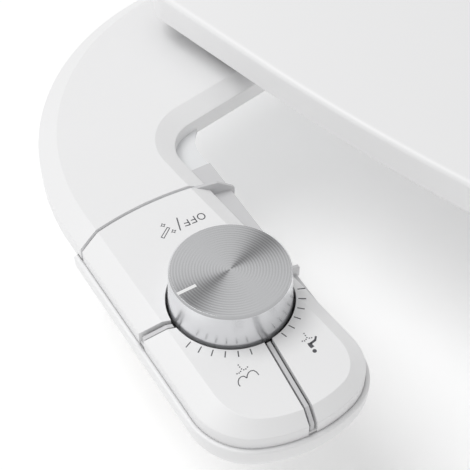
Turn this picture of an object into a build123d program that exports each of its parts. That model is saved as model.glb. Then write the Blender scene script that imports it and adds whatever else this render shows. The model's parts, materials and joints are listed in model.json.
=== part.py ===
from build123d import *
import os
from math import cos, hypot, radians, sin, sqrt, tan

# A bidet seat with a side control arm: a slim base bolted behind the bowl opening, an arm that runs
# out to a control pod with one dial, two nozzles that slide forward on water pressure, and a seat
# ring and lid hinged on the base.
#
# Frame, in millimetres: the origin is midway between the two seat bolts, on the underside of the
# base, where it rests on the bowl rim. +Z is up, a seated user faces -Y, and the pod is on -X.

# ---- Base and arm ----
bolt_spacing = 140.0         # between the two seat bolts
bolt_r = 4.0                 # M8
bolt_neck_r = 3.6            # plain neck above the thread
bolt_drop = 68.0             # length of bolt below the bowl rim surface
bolt_head_r, bolt_head_h = 7.0, 3.4
bolt_slot = (10.0, 1.6, 1.2) # length, width and depth of the screwdriver slot
bolt_washer_r, bolt_washer_t = 9.0, 1.2
deck_top = 12.0              # height of the deck, the arm and the pod panels above the rim
deck_half = 178.0            # from the middle to the plain end of the base
deck_rear = 41.75
deck_front = -45.5
deck_end_r = 24.0            # plan radius of the plain end
cover_wall = 2.4
bevel_run = 8.4              # width of the bevel round base and arm, seen from above
bevel_run_front = 4.7        # the same across the pod's front
bevel_run_inner = 6.9        # and along its inner side
bevel_drop = 4.4             # height of the bevel
pan_t = 2.0                  # thickness of the base pan
fit_gap = 0.25               # between covers that slide into each other

# ---- Control pod, laid out on its own axes through the dial: x across, y towards the rear ----
dial_x = -264.0
dial_y = -131.5
pod_turn = 11.2              # degrees that the pod's axis splays outwards
pod_half = 35.85             # half width at the foot of the bevel
pod_inner_root = 38.0        # half width on the inner side, where it meets the base
pod_inner_front = 30.8       # and at the front corner
pod_front = 59.6             # from the dial axis to the front of the pod
pod_front_r = 52.0           # gentle bow of the front edge
pod_outer_corner_r = 24.0
pod_inner_corner_r = 20.0
arm_outer_r = 126.25         # sweep from the pod's outer side into the rear edge
arm_inner_r = 17.75          # inside corner between the pod and the base
pod_wall_foot = 1.6          # where the side walls of the three panels end
seam_r = 120.0               # arched seam between the arm and the rear panel
seam_y = 58.5
seam_gap = 1.5
seam_strip_sink = 1.4        # how far the strip in the seam lies below the surface
seam_strip_gap = 0.05        # between that strip and its neighbours
groove_y = -7.9              # both side grooves would meet here in front of the dial axis
groove_sweep = 18.0          # degrees that they lean to the rear
side_groove_w = 3.8
front_groove_w = 3.4
front_groove_x = 3.9         # the front groove's line passes here beside the dial axis
front_groove_tilt = 7.1      # degrees
rib_w = 1.5                  # light strip that stands in each groove
rib_sink = 0.8               # how far its top lies below the panels
frame_t = 2.6
foot_r = 2.6                 # feet of the panels
well_ring_h = 3.0
frame_tongue_y = 72.0        # the frame reaches this far back under the arm
frame_window = (-19.0, 22.9, 25.0, 80.0)   # opening for the water tubes: x from, to, y from, to

# ---- Lower tub of the pod ----
tub_ledge = 2.0              # how far it stands out beyond the panels
tub_top = 0.6
tub_side_h = 3.0             # upright part of its side, above the rounded underside
tub_round_r = 11.1
tub_rear = 57.0
tub_inner_rear = 39.0        # half width at its rear end, on the inner side
tub_wall = 2.4
tub_screw_x = 25.0
tub_screw_ys = (-34.0, 46.0)

# ---- Dial and valve ----
dial_r = 22.5                # at the top
dial_flare = 0.9             # wider by this much at the foot of its skirt
dial_h = 15.6                # above the panels
dial_sink = 2.0              # the skirt runs this far down into its well
dial_wall = 1.6
dial_chamfer = 0.8
well_r = 24.3                # round opening in the panels
pointer_from, pointer_to = 14.3, 22.0
pointer_w = 1.2
pointer_t = 0.5
core_r, core_plate = 9.0, 4.0
stem_r = 4.5
stem_groove_w, stem_groove_t = 1.6, 1.0
seal_wire_r = 0.75
seals_up = (1.2, 4.2)        # heights of the O-rings over the valve body
running_gap = 0.05           # radial gap of parts that turn or slide in each other
valve_r = 15.0
valve_bore_r = 11.0
valve_h = 10.0
valve_floor = 3.0
valve_neck_w = 10.0          # water passage between inlet elbow and valve
rotor_gap = 0.3
stem_foot_t, stem_foot_gap = 1.4, 0.8
bonnet_flange_t = 2.0
bonnet_roof = 1.8
disc_t = 2.0                 # ceramic discs
bonnet_r = 11.6
bonnet_top = 7.0

# ---- Water inlet (G1/2) and tubes ----
inlet_y = 38.0
inlet_r = 10.48
inlet_neck_r = 10.2          # plain neck that the lock nut rests round
inlet_bore_r = 5.0
inlet_elbow_r = 6.5
inlet_flange_t = 2.0
inlet_flange_r = 13.5
inlet_elbow_h = 9.5
inlet_free = 14.0            # from the lock nut to the tip
inlet_relief = 0.4           # the thread starts this far below the nut
inlet_chamfer = 0.8
nut_h = 5.0
nut_af = 27.0
washer_t = 1.0
washer_r = 14.5
tube_r = 2.5
tube_pitch = 6.5
tube_z = 5.8
port_y = 18.0                # end of the valve's tube ports
port_x = 12.0
port_z = -6.0
tube_bend_r = 60.0           # largest radius of the tubes' bends
tube_straight_x = -165.0     # the tubes run parallel to the base from here
clip_xs = (-150.0, -45.0)
clip_w, clip_from, clip_to, clip_top = 8.0, -36.5, -16.5, 8.6

# ---- Nozzles, laid out along their own slope ----
nozzle_slope = 35.0          # degrees below the horizontal
nozzle_x = 8.5
nozzle_r = 4.5
nozzle_start_y = -62.0
nozzle_start_z = 1.0
barrel_len = 60.0
barrel_wall = 2.4
collar_len = 4.0
piston_r = 5.5
piston_len = 5.0
tip_len = 7.0
spring_wire_r = 0.4
spring_turns = 8
housing_foot = (24.0, -60.0, -37.0, 8.8)   # half width, front, rear and top of the block on the pan
manifold_rear = -16.5
guard_lug = 3.0              # width of each lug that holds the guard's pin
guard_pin_up = 2.5           # height of the pin over the housing
guard_pin_back = 3.0         # how far it lies behind the housing's mouth
guard_eye_r = 2.3
guard_face_from, guard_face_t = 9.0, 2.0
spray_r = 0.4
spray_holes = ((0, 2.0), (-1.3, 2.9), (1.3, 2.9), (-1.3, 1.1), (1.3, 1.1))

# ---- Seat ring, lid and hinges ----
hinge_y = 8.0
hinge_z = 28.5
hinge_tower_x = 108.0
knuckle_w = 8.0
knuckle_gap = 1.0
knuckle_r = 5.2
pin_r = 3.0
hinge_neck_back = 3.0        # the tower's neck stays clear of the opened lid
hinge_foot = (9.0, 3.0, 3.0) # half width, height and corner radius of the tower's foot
pin_over = 1.0               # how far the pin stands out of the outer knuckle
seat_arm_z = (17.0, 26.0)
seat_arm_cut_r = 7.0         # hollow that clears the tower's foot
seat_arm_rise_z = 24.0
lid_arm_back = 2.0
lid_half = 183.0
lid_rear = 18.0
lid_straight = -65.0         # the sides are parallel from the rear to here
lid_side_r = 811.0           # gentle bow of the sides in front of that
lid_front_r = 128.0
lid_foot = 24.0
lid_top = 38.0
lid_wall = 3.5
lid_edge_r = 2.5
lid_corner_r = 16.0
seat_inset = 9.0             # the ring's edge lies this far inside the lid's
seat_rear = -6.0
seat_foot = 13.5
seat_top = 28.0
seat_edge_r = 6.0
hole_half = 105.0
hole_from, hole_to = -75.0, -400.0
seat_bumper = (12.0, 30.0, 5.5)   # width, length and corner radius
seat_bumpers_at = [(-136, -130), (136, -130), (-96, -380), (96, -380)]
lid_bumper_r = 6.0
lid_bumper_gap = 0.3         # left above the ring, so the lid is carried by its hinge at rest
lid_bumpers_at = [(-130, -150), (130, -150), (-90, -400), (90, -400)]

# ---- Fasteners ----
screw_r = 1.5
screw_head_r = 2.8
boss_r = 3.4
disc_flange_r = 13.6
disc_flange_t = 3.5
cap_top = 12.3
cap_wall, cap_inner_r, cap_edge_r = 1.6, 11.8, 0.8
disc_plug_r = 10.8           # part of the adjusting disc inside the pan
boss_ring = 2.4              # wall round each bolt well
head_sink = 0.2              # screw heads lie this far inside the pan
head_t = 1.2
neck_cut = (25.0, -36.0, 9.0)     # half width, rear end and top of the opening for the nozzle block
cover_screws_at = [(-150, 28), (-45, 28), (45, 28), (150, 28), (45, -28), (150, -28)]
pad_size = (34.0, 10.0, 1.2)
pads_at = [(-125, 22), (125, 22), (-125, -30), (125, -30)]

pod_place = Location((dial_x, dial_y, 0), (0, 0, -pod_turn))
nozzle_place = Location((0, nozzle_start_y, nozzle_start_z), (90 + nozzle_slope, 0, 0))
inner_top = deck_top - cover_wall
frame_z = pan_t
tub_bottom = tub_top - tub_side_h - tub_round_r
dial_top = deck_top + dial_h
dial_foot = deck_top - dial_sink
stem_top = dial_top - dial_wall - 3
valve_z = tub_bottom + tub_wall
valve_top = valve_z + valve_h
rotor_z = valve_z + valve_floor + disc_t + running_gap
nut_foot = tub_bottom - washer_t - nut_h
inlet_tip = nut_foot - inlet_free
bolt_x = bolt_spacing / 2
collar_s = barrel_len - collar_len
parts = {}


# ---- Helpers ----
def block(x0, x1, y0, y1, z0, z1):
    """A box between two corners."""
    return Pos((x0 + x1) / 2, (y0 + y1) / 2, (z0 + z1) / 2) * Box(x1 - x0, y1 - y0, z1 - z0)


def post(x, y, z0, z1, r):
    """An upright cylinder."""
    return Pos(x, y, (z0 + z1) / 2) * Cylinder(r, z1 - z0)


def tube_post(x, y, z0, z1, r, bore):
    """An upright tube."""
    return post(x, y, z0, z1, r) - post(x, y, z0 - 1, z1 + 1, bore)


def cross_post(x0, x1, y, z, r):
    """A cylinder along X."""
    return Pos((x0 + x1) / 2, y, z) * Rot(0, 90, 0) * Cylinder(r, x1 - x0)


def rounded(outline, corners):
    """Rounds corners of a flat outline, each given as x, y and radius."""
    for x, y, radius in corners:
        outline = fillet(outline.vertices().sort_by_distance((x, y, 0))[0], radius)
    return outline


def from_pod(x, y):
    """A point on the pod's own axes, in the frame of the whole part."""
    c, s = cos(radians(pod_turn)), sin(radians(pod_turn))
    return dial_x + c * x + s * y, dial_y - s * x + c * y


def pod_y_at(x, deck_y):
    """How far back a line at x on the pod's axes meets a line parallel to X."""
    c, s = cos(radians(pod_turn)), sin(radians(pod_turn))
    return (deck_y - dial_y + s * x) / c


def group(*solids):
    """Separate solids as one node."""
    return Compound(children=list(solids))


def add(name, shape):
    """Keeps one named piece."""
    shape.label = name
    parts[name] = shape


# ---- Shared outlines ----
def make_deck_outline(arm, front, inner):
    """Outline of base, arm and pod, each drawn in from the foot of the bevel by its own amount."""
    rear, end, fore = deck_rear - arm, deck_half - arm, deck_front + arm
    outer, bow = pod_half - arm, pod_front_r - front
    tip = pod_front - front
    drawn, root = pod_inner_front - inner, pod_inner_root - inner
    rear_right = (end, rear)
    rear_left = from_pod(-outer, pod_y_at(-outer, rear))
    front_outer = from_pod(-outer, bow - tip - sqrt(bow ** 2 - outer ** 2))
    front_mid = from_pod(0, -tip)
    front_inner = from_pod(drawn, bow - tip - sqrt(bow ** 2 - drawn ** 2))
    inner_corner = from_pod(root, pod_y_at(root, fore))
    front_right = (end, fore)
    edges = [
        Line(rear_right, rear_left),
        Line(rear_left, front_outer),
        ThreePointArc(front_outer, front_mid, front_inner),
        Line(front_inner, inner_corner),
        Line(inner_corner, front_right),
        Line(front_right, rear_right),
    ]
    corners = [
        (*rear_left, arm_outer_r - arm),
        (*front_outer, pod_outer_corner_r - (arm + front) / 2),
        (*front_inner, pod_inner_corner_r - (inner + front) / 2),
        (*inner_corner, arm_inner_r + arm),
        (*rear_right, deck_end_r - arm),
        (*front_right, deck_end_r - arm),
    ]
    return rounded(make_face(edges), corners)


deck_outline = make_deck_outline(0, 0, 0)


def deck_blank(inset, bottom, top):
    """Solid of the deck outline, drawn in by inset, with the bevel round its top."""
    foot = make_deck_outline(inset, inset, inset)
    ridge = make_deck_outline(inset + bevel_run, inset + bevel_run_front, inset + bevel_run_inner)
    shoulder = top - bevel_drop
    blank = extrude(Pos(0, 0, bottom) * foot, shoulder - bottom)
    return blank + loft([Pos(0, 0, shoulder) * foot, Pos(0, 0, top) * ridge], ruled=True)


def pod_disc(grow):
    """Everything in front of the arched seam."""
    return pod_place * post(0, seam_y - seam_r, -40, 40, seam_r + grow)


def sweep_place(side):
    """Place of a side groove: its line starts on the pod's axis and leans to the rear."""
    return pod_place * Pos(0, groove_y, 0) * Rot(0, 0, side * groove_sweep)


def strips(side_w, front_w, reach=90.0):
    """The three strips that part the panels: one to each side and one to the front."""
    right = sweep_place(1) * block(0, reach, -side_w / 2, side_w / 2, -40, 40)
    left = sweep_place(-1) * block(-reach, 0, -side_w / 2, side_w / 2, -40, 40)
    front = block(-front_w / 2, front_w / 2, -reach, 0, -40, 40)
    front = pod_place * Pos(front_groove_x, 0, 0) * Rot(0, 0, -front_groove_tilt) * front
    return right + left + front


def tub_blank(grow, bottom, top, round_r):
    """Closed solid of the tub, grown or drawn in all round, its underside rounded but for the rear."""
    out = tub_ledge + grow
    outer, inner = pod_half + out, pod_inner_front + out
    front, bow = pod_front + out, pod_front_r + out
    outer_corner = (-outer, bow - front - sqrt(bow ** 2 - outer ** 2))
    inner_corner = (inner, bow - front - sqrt(bow ** 2 - inner ** 2))
    rear_outer, rear_inner = (-outer, tub_rear + grow), (tub_inner_rear + grow, tub_rear + grow)
    edges = [
        Line(rear_inner, rear_outer),
        Line(rear_outer, outer_corner),
        ThreePointArc(outer_corner, (0, -front), inner_corner),
        Line(inner_corner, rear_inner),
    ]
    corners = [(*outer_corner, pod_outer_corner_r + out), (*inner_corner, pod_inner_corner_r + out)]
    outline = rounded(make_face(edges), corners)
    blank = extrude(Pos(0, 0, bottom) * outline, top - bottom)
    if round_r:
        underside = blank.edges().group_by(Axis.Z)[0].sort_by(Axis.Y)[:-1]
        blank = fillet(underside, round_r)
    return pod_place * blank


def oval(inset, rear, corner_r):
    """Outline of seat or lid, drawn in by inset: square rear, parallel sides, bowed sides, round front."""
    half, side_r, front_r = lid_half - inset, lid_side_r - inset, lid_front_r - inset
    cx = side_r - half                     # centre of the left side's bow
    drop = sqrt((side_r - front_r) ** 2 - cx ** 2)
    ux, uy = -cx / (side_r - front_r), -drop / (side_r - front_r)
    join = (cx + side_r * ux, lid_straight + side_r * uy)
    half_turn = sqrt((1 + abs(ux)) / 2), -sqrt((1 - abs(ux)) / 2)
    bow_mid = (cx - side_r * half_turn[0], lid_straight + side_r * half_turn[1])
    nose = (0, lid_straight - drop - front_r)
    edges = [
        Line((half, rear), (-half, rear)),
        Line((-half, rear), (-half, lid_straight)),
        ThreePointArc((-half, lid_straight), bow_mid, join),
        ThreePointArc(join, nose, (-join[0], join[1])),
        ThreePointArc((-join[0], join[1]), (-bow_mid[0], bow_mid[1]), (half, lid_straight)),
        Line((half, lid_straight), (half, rear)),
    ]
    return rounded(make_face(edges), [(-half, rear, corner_r), (half, rear, corner_r)])


# ---- Base ----
def make_base_cover():
    """Upper shell of base and arm, up to the seam."""
    shell = deck_blank(0, 0, deck_top) - deck_blank(cover_wall, -1, inner_top)
    shell -= pod_disc(seam_gap / 2)
    shell -= tub_blank(fit_gap, tub_bottom - 5, tub_top + fit_gap, 0)
    for x, y in cover_screws_at:
        shell += post(x, y, pan_t, inner_top + 0.5, boss_r)
        shell -= post(x, y, pan_t - 1, deck_top - cover_wall - 1.5, screw_r + running_gap)
    for x in (-bolt_x, bolt_x):
        shell += post(x, 0, pan_t + disc_flange_t, inner_top + 0.5, disc_flange_r + boss_ring)
        shell -= post(x, 0, -1, deck_top + 1, disc_flange_r + fit_gap)
    half, rear, top = neck_cut
    return shell - block(-half, half, deck_front - 1, rear, -1, top)


def make_base_pan():
    """Flat floor of base and arm, inside the cover's walls."""
    pan = extrude(offset(deck_outline, -(cover_wall + fit_gap)), pan_t)
    pan -= tub_blank(fit_gap, tub_bottom - 5, 30, 0)
    pan -= pod_disc(0) & pod_place * block(-90, 90, -200, 0, -5, 5)
    for x in (-bolt_x, bolt_x):
        pan -= post(x, 0, -1, pan_t + 1, disc_plug_r + 0.2)
    for x, y in cover_screws_at:
        pan -= post(x, y, -1, pan_t + 1, screw_r + 0.2)
        pan -= post(x, y, -1, head_sink + head_t, screw_head_r + 0.2)
    for x, y in pads_at:
        pan -= block(x - pad_size[0] / 2, x + pad_size[0] / 2, y - pad_size[1] / 2, y + pad_size[1] / 2,
                     -1, pad_size[2])
    return pan


def make_bolt_set():
    """Adjusting discs, washers, bolts and caps at the two seat bolts."""
    discs, washers, bolts, caps = [], [], [], []
    flange_top = pan_t + disc_flange_t
    head_foot = flange_top + bolt_washer_t
    head_top = head_foot + bolt_head_h
    slot_l, slot_w, slot_t = bolt_slot
    for x in (-bolt_x, bolt_x):
        disc = post(x, 0, 0, pan_t, disc_plug_r) + post(x, 0, pan_t, flange_top, disc_flange_r)
        discs.append(disc - post(x, 0, -1, flange_top + 1, bolt_r + 0.2))
        washers.append(tube_post(x, 0, flange_top, head_foot, bolt_washer_r, bolt_r + 0.2))
        bolt = post(x, 0, head_foot, head_top, bolt_head_r) + post(x, 0, 0, head_foot, bolt_neck_r)
        bolt += post(x, 0, -bolt_drop, 0, bolt_r)
        bolts.append(bolt - block(x - slot_l / 2, x + slot_l / 2, -slot_w / 2, slot_w / 2,
                                  head_top - slot_t, head_top + 1))
        cap = post(x, 0, flange_top, cap_top, disc_flange_r)
        cap -= post(x, 0, flange_top - 1, cap_top - cap_wall, cap_inner_r)
        caps.append(fillet(cap.edges().group_by(Axis.Z)[-1], cap_edge_r))
    add("adjuster_discs", group(*discs))
    add("bolt_washers", group(*washers))
    add("seat_bolts", group(*bolts))
    add("bolt_caps", group(*caps))


def make_cover_screws():
    """Screws up through the pan into the cover, and the pads under the pan."""
    screws = []
    head_top = head_sink + head_t
    for x, y in cover_screws_at:
        screw = post(x, y, head_sink, head_top, screw_head_r)
        screws.append(screw + post(x, y, head_top, inner_top - 2.0, screw_r))
    add("cover_screws", group(*screws))
    pads = []
    for x, y in pads_at:
        pads.append(block(x - pad_size[0] / 2, x + pad_size[0] / 2, y - pad_size[1] / 2,
                          y + pad_size[1] / 2, 0, pad_size[2]))
    add("rim_pads", group(*pads))


# ---- Hinges ----
def make_hinges():
    """A tower and a pin on each side; the ring's arm runs outside the tower and the lid's inside it."""
    arm_reach = knuckle_w + knuckle_gap
    foot_half, foot_h, foot_corner = hinge_foot
    for side, name in ((-1, "right"), (1, "left")):
        x = side * hinge_tower_x
        foot = block(x - foot_half, x + foot_half, hinge_y - foot_half, hinge_y + foot_half,
                     deck_top, deck_top + foot_h)
        foot = fillet(foot.edges().filter_by(Axis.Z), foot_corner)
        web = block(x - knuckle_w / 2, x + knuckle_w / 2, hinge_y - knuckle_r,
                    hinge_y + hinge_neck_back, deck_top + foot_h, hinge_z)
        eye = cross_post(x - knuckle_w / 2, x + knuckle_w / 2, hinge_y, hinge_z, knuckle_r)
        bore = cross_post(x - knuckle_w, x + knuckle_w, hinge_y, hinge_z, pin_r + 0.02)
        add(f"hinge_tower_{name}", foot + web + eye - bore)
        half = 1.5 * knuckle_w + knuckle_gap + pin_over
        add(f"hinge_pin_{name}", cross_post(x - half, x + half, hinge_y, hinge_z, pin_r))
    arms_seat, arms_lid = [], []
    low, high = seat_arm_z
    for side in (-1, 1):
        xs = side * (hinge_tower_x + arm_reach)
        xl = side * (hinge_tower_x - arm_reach)
        bore = cross_post(-200, 200, hinge_y, hinge_z, pin_r + running_gap)
        arm = block(xs - knuckle_w / 2, xs + knuckle_w / 2, seat_rear, hinge_y, low, high)
        arm += cross_post(xs - knuckle_w / 2, xs + knuckle_w / 2, hinge_y, hinge_z, knuckle_r)
        arm += block(xs - knuckle_w / 2, xs + knuckle_w / 2, hinge_y - knuckle_r, hinge_y,
                     seat_arm_rise_z, hinge_z)
        arm -= cross_post(xs - 2 * knuckle_w, xs + 2 * knuckle_w, hinge_y, low, seat_arm_cut_r)
        arms_seat.append(arm - bore)
        arm = block(xl - knuckle_w / 2, xl + knuckle_w / 2, hinge_y - knuckle_r, hinge_y + lid_arm_back,
                    hinge_z, lid_top - lid_wall)
        arm += cross_post(xl - knuckle_w / 2, xl + knuckle_w / 2, hinge_y, hinge_z, knuckle_r)
        arms_lid.append(arm - bore)
    add("seat_hinge_arms", group(*arms_seat))
    add("lid_hinge_arms", group(*arms_lid))


# ---- Seat ring and lid ----
def make_seat():
    """Ring with an open middle, and the bumpers that stand on the bowl."""
    outline = oval(seat_inset, seat_rear, lid_corner_r)
    ring = extrude(Pos(0, 0, seat_foot) * outline, seat_top - seat_foot)
    hole = Pos(0, (hole_from + hole_to) / 2, seat_foot - 1) * Ellipse(hole_half, (hole_from - hole_to) / 2)
    ring -= extrude(hole, seat_top - seat_foot + 2)
    ring = fillet(ring.edges().group_by(Axis.Z)[-1], seat_edge_r)
    add("seat_ring", ring)
    bumpers = []
    wide, long, corner = seat_bumper
    for x, y in seat_bumpers_at:
        bumper = block(x - wide / 2, x + wide / 2, y - long / 2, y + long / 2, 0, seat_foot)
        bumpers.append(fillet(bumper.edges().filter_by(Axis.Z), corner))
    add("seat_bumpers", group(*bumpers))


def make_lid():
    """Shell of the lid, notched at the hinge towers, and the bumpers inside it."""
    outline = oval(0, lid_rear, lid_corner_r)
    lid = extrude(Pos(0, 0, lid_foot) * outline, lid_top - lid_foot)
    lid = fillet(lid.edges().group_by(Axis.Z)[-1], lid_edge_r)
    inner = oval(lid_wall, lid_rear - lid_wall, lid_corner_r - lid_wall)
    lid -= extrude(Pos(0, 0, lid_foot - 1) * inner, lid_top - lid_wall - lid_foot + 1)
    reach = 1.5 * knuckle_w + knuckle_gap + 2.0
    for side in (-1, 1):
        x = side * hinge_tower_x
        lid -= block(x - reach, x + reach, lid_rear - lid_wall - 1, lid_rear + 5, lid_foot - 1,
                     lid_top - lid_wall)
    add("lid_shell", lid)
    bumpers = []
    for x, y in lid_bumpers_at:
        bumpers.append(post(x, y, seat_top + lid_bumper_gap, lid_top - lid_wall, lid_bumper_r))
    add("lid_bumpers", group(*bumpers))


# ---- Control pod ----
def make_panels():
    """Three top panels: shells of the pod, parted by the grooves, with feet on the frame."""
    shell = deck_blank(0, pod_wall_foot, deck_top) - deck_blank(cover_wall, pod_wall_foot - 1, inner_top)
    shell &= pod_disc(-seam_gap / 2)
    shell -= pod_place * post(0, 0, -5, 30, well_r)
    shell -= strips(side_groove_w, front_groove_w)
    behind = block(-90, 90, 0, 120, -40, 40)
    back = sweep_place(1) * behind & sweep_place(-1) * behind
    groove_place = Pos(front_groove_x, 0, 0) * Rot(0, 0, -front_groove_tilt)
    outer = pod_place * groove_place * block(-90, 0, -90, 0, -40, 40)
    feet = {
        "panel_stop": [(-27, 18), (27, 18), (-26, 44), (27, 44)],
        "panel_rear_wash": [(-27, -16), (-18, -42)],
        "panel_front_wash": [(27, -16), (14, -44)],
    }
    sectors = {
        "panel_stop": shell & back,
        "panel_rear_wash": (shell - back) & outer,
        "panel_front_wash": (shell - back) - outer,
    }
    for name, sector in sectors.items():
        for x, y in feet[name]:
            sector += pod_place * post(x, y, frame_z + frame_t, inner_top + 0.5, foot_r)
        add(name, sector)


def make_pod_frame():
    """Plate under the panels, with the ribs that stand in the grooves and the strip in the seam."""
    outline = offset(deck_outline, -(cover_wall + 0.4))
    plate = extrude(Pos(0, 0, frame_z) * outline, frame_t)
    plate &= pod_place * block(-90, 90, -90, frame_tongue_y, -5, 15)
    x0, x1, y0, y1 = frame_window
    plate -= pod_place * block(x0, x1, y0, y1, -5, 15)
    ribs = deck_blank(rib_sink, frame_z, deck_top - rib_sink) & strips(rib_w, rib_w)
    ribs &= pod_disc(-seam_gap)
    ribs -= pod_place * post(0, 0, -5, 30, well_r + 0.2)
    strip = deck_blank(seam_strip_sink, frame_z, deck_top - seam_strip_sink)
    strip &= pod_disc(seam_gap / 2 - seam_strip_gap)
    strip -= pod_disc(seam_strip_gap - seam_gap / 2)
    strip -= pod_place * block(x0, x1, y0, y1, -5, clip_top)
    frame = plate + ribs + strip
    frame -= pod_place * post(0, 0, -5, 30, bonnet_r + 0.4)
    for x, y in tub_screw_places():
        frame -= pod_place * post(x, y, frame_z - 1, frame_z + frame_t - 0.6, screw_r + running_gap)
    return frame


def tub_screw_places():
    return [(x, y) for x in (-tub_screw_x, tub_screw_x) for y in tub_screw_ys]


def make_pod_tub():
    """Lower shell of the pod, with screw bosses and the inlet hole."""
    tub = tub_blank(0, tub_bottom, tub_top, tub_round_r)
    tub -= tub_blank(-tub_wall, tub_bottom + tub_wall, tub_top + 5, tub_round_r - tub_wall)
    for x, y in tub_screw_places():
        tub += pod_place * post(x, y, tub_bottom + 1, frame_z, boss_r)
        tub -= pod_place * post(x, y, tub_bottom - 1, frame_z + 1, screw_r + 0.2)
        tub -= pod_place * post(x, y, tub_bottom - 1, tub_bottom + 2.6, screw_head_r + 0.4)
    tub -= pod_place * post(0, inlet_y, tub_bottom - 1, tub_bottom + 5, inlet_r + fit_gap)
    return tub


def make_tub_screws():
    screws = []
    for x, y in tub_screw_places():
        screw = post(x, y, tub_bottom + 0.6, tub_bottom + 2.6, screw_head_r)
        screws.append(pod_place * (screw + post(x, y, tub_bottom + 2.6, frame_z + 1.6, screw_r)))
    add("tub_screws", group(*screws))


def make_dial():
    """Turned cap, its moulded core, the inlaid pointer and the ring in the well."""
    cap = Pos(0, 0, (dial_foot + dial_top) / 2) * Cone(dial_r + dial_flare, dial_r, dial_top - dial_foot)
    cap = chamfer(cap.edges().group_by(Axis.Z)[-1], dial_chamfer)
    cap -= post(0, 0, dial_foot - 1, dial_top - dial_wall, dial_r - dial_wall)
    slot = block(-pointer_to, -pointer_from, -pointer_w / 2, pointer_w / 2,
                 dial_top - pointer_t, dial_top + 5)
    add("dial_cap", pod_place * (cap - slot))
    add("dial_pointer", pod_place * block(-pointer_to + 0.3, -pointer_from, -pointer_w / 2, pointer_w / 2,
                                          dial_top - pointer_t, dial_top))
    core_top = dial_top - dial_wall
    core = post(0, 0, core_top - core_plate, core_top, dial_r - dial_wall)
    core += post(0, 0, dial_foot, core_top - core_plate, core_r)
    core -= post(0, 0, dial_foot - 1, stem_top, stem_r)
    add("dial_core", pod_place * core)
    ring_foot = frame_z + frame_t
    add("dial_well_ring", pod_place * tube_post(0, 0, ring_foot, ring_foot + well_ring_h, well_r - 0.4,
                                                bonnet_r + 0.8))


# ---- Valve and inlet ----
def make_valve():
    """Body with its tube ports, two ceramic discs, the stem with its O-rings and the bonnet."""
    body = post(0, 0, valve_z, valve_top, valve_r)
    body += block(-valve_neck_w / 2, valve_neck_w / 2, 0, inlet_y, valve_z + inlet_flange_t, valve_z + 8.5)
    body -= post(0, inlet_y, valve_z, valve_top + 1, inlet_elbow_r)
    for x in (-port_x, port_x):
        body += Pos(x, port_y / 2, port_z) * Rot(90, 0, 0) * Cylinder(tube_r, port_y)
    body += Pos(valve_r, 0, port_z) * Rot(0, 90, 0) * Cylinder(tube_r, 6)
    body -= post(0, 0, valve_z + valve_floor, valve_top + 1, valve_bore_r)
    add("valve_body", pod_place * body)
    add("valve_seat_disc", pod_place * post(0, 0, valve_z + valve_floor, valve_z + valve_floor + disc_t,
                                            valve_bore_r - running_gap))
    add("valve_rotor_disc", pod_place * post(0, 0, rotor_z, rotor_z + disc_t, valve_bore_r - rotor_gap))
    foot_top = rotor_z + disc_t + stem_foot_t
    stem = post(0, 0, rotor_z + disc_t, foot_top, valve_bore_r - stem_foot_gap)
    stem += post(0, 0, foot_top, stem_top, stem_r)
    seals = []
    for up in seals_up:
        z = valve_top + up
        stem -= tube_post(0, 0, z - stem_groove_w / 2, z + stem_groove_w / 2, 2 * stem_r,
                          stem_r - stem_groove_t)
        seals.append(pod_place * Pos(0, 0, z) * Torus(stem_r - 0.2, seal_wire_r))
    add("valve_stem", pod_place * stem)
    add("stem_o_rings", group(*seals))
    bonnet = post(0, 0, valve_top, valve_top + bonnet_flange_t, valve_r)
    bonnet += post(0, 0, valve_top, bonnet_top, bonnet_r)
    bonnet += post(0, 0, foot_top + 0.2, valve_top, valve_bore_r - 0.1)
    bonnet -= post(0, 0, valve_z, bonnet_top - bonnet_roof, stem_r + seal_wire_r)
    bonnet -= post(0, 0, valve_z, bonnet_top + 1, stem_r + running_gap)
    add("valve_bonnet", pod_place * bonnet)


def make_inlet():
    """Elbow inside the tub, threaded stub out through its floor, rubber washer and lock nut."""
    thread_top = nut_foot - inlet_relief
    fitting = post(0, inlet_y, valve_z, valve_z + inlet_flange_t, inlet_flange_r)
    fitting += post(0, inlet_y, valve_z, valve_z + inlet_elbow_h, inlet_elbow_r)
    fitting += post(0, inlet_y, thread_top, valve_z, inlet_neck_r)
    fitting += post(0, inlet_y, inlet_tip, thread_top, inlet_r)
    fitting = chamfer(fitting.edges().group_by(Axis.Z)[0], inlet_chamfer)
    fitting -= post(0, inlet_y, inlet_tip - 1, valve_z + 5, inlet_bore_r)
    add("inlet_fitting", pod_place * fitting)
    add("inlet_washer", pod_place * tube_post(0, inlet_y, tub_bottom - washer_t, tub_bottom, washer_r,
                                              inlet_r + running_gap))
    nut = extrude(RegularPolygon(nut_af / 2, 6, major_radius=False), nut_h)
    nut = Pos(0, inlet_y, nut_foot) * nut
    add("inlet_lock_nut", pod_place * (nut - post(0, inlet_y, inlet_tip, 0, inlet_r + running_gap)))


# ---- Tubes ----
tube_rows = {"rear": -20.0, "front": -20.0 - tube_pitch, "clean": -20.0 - 2 * tube_pitch}


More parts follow.
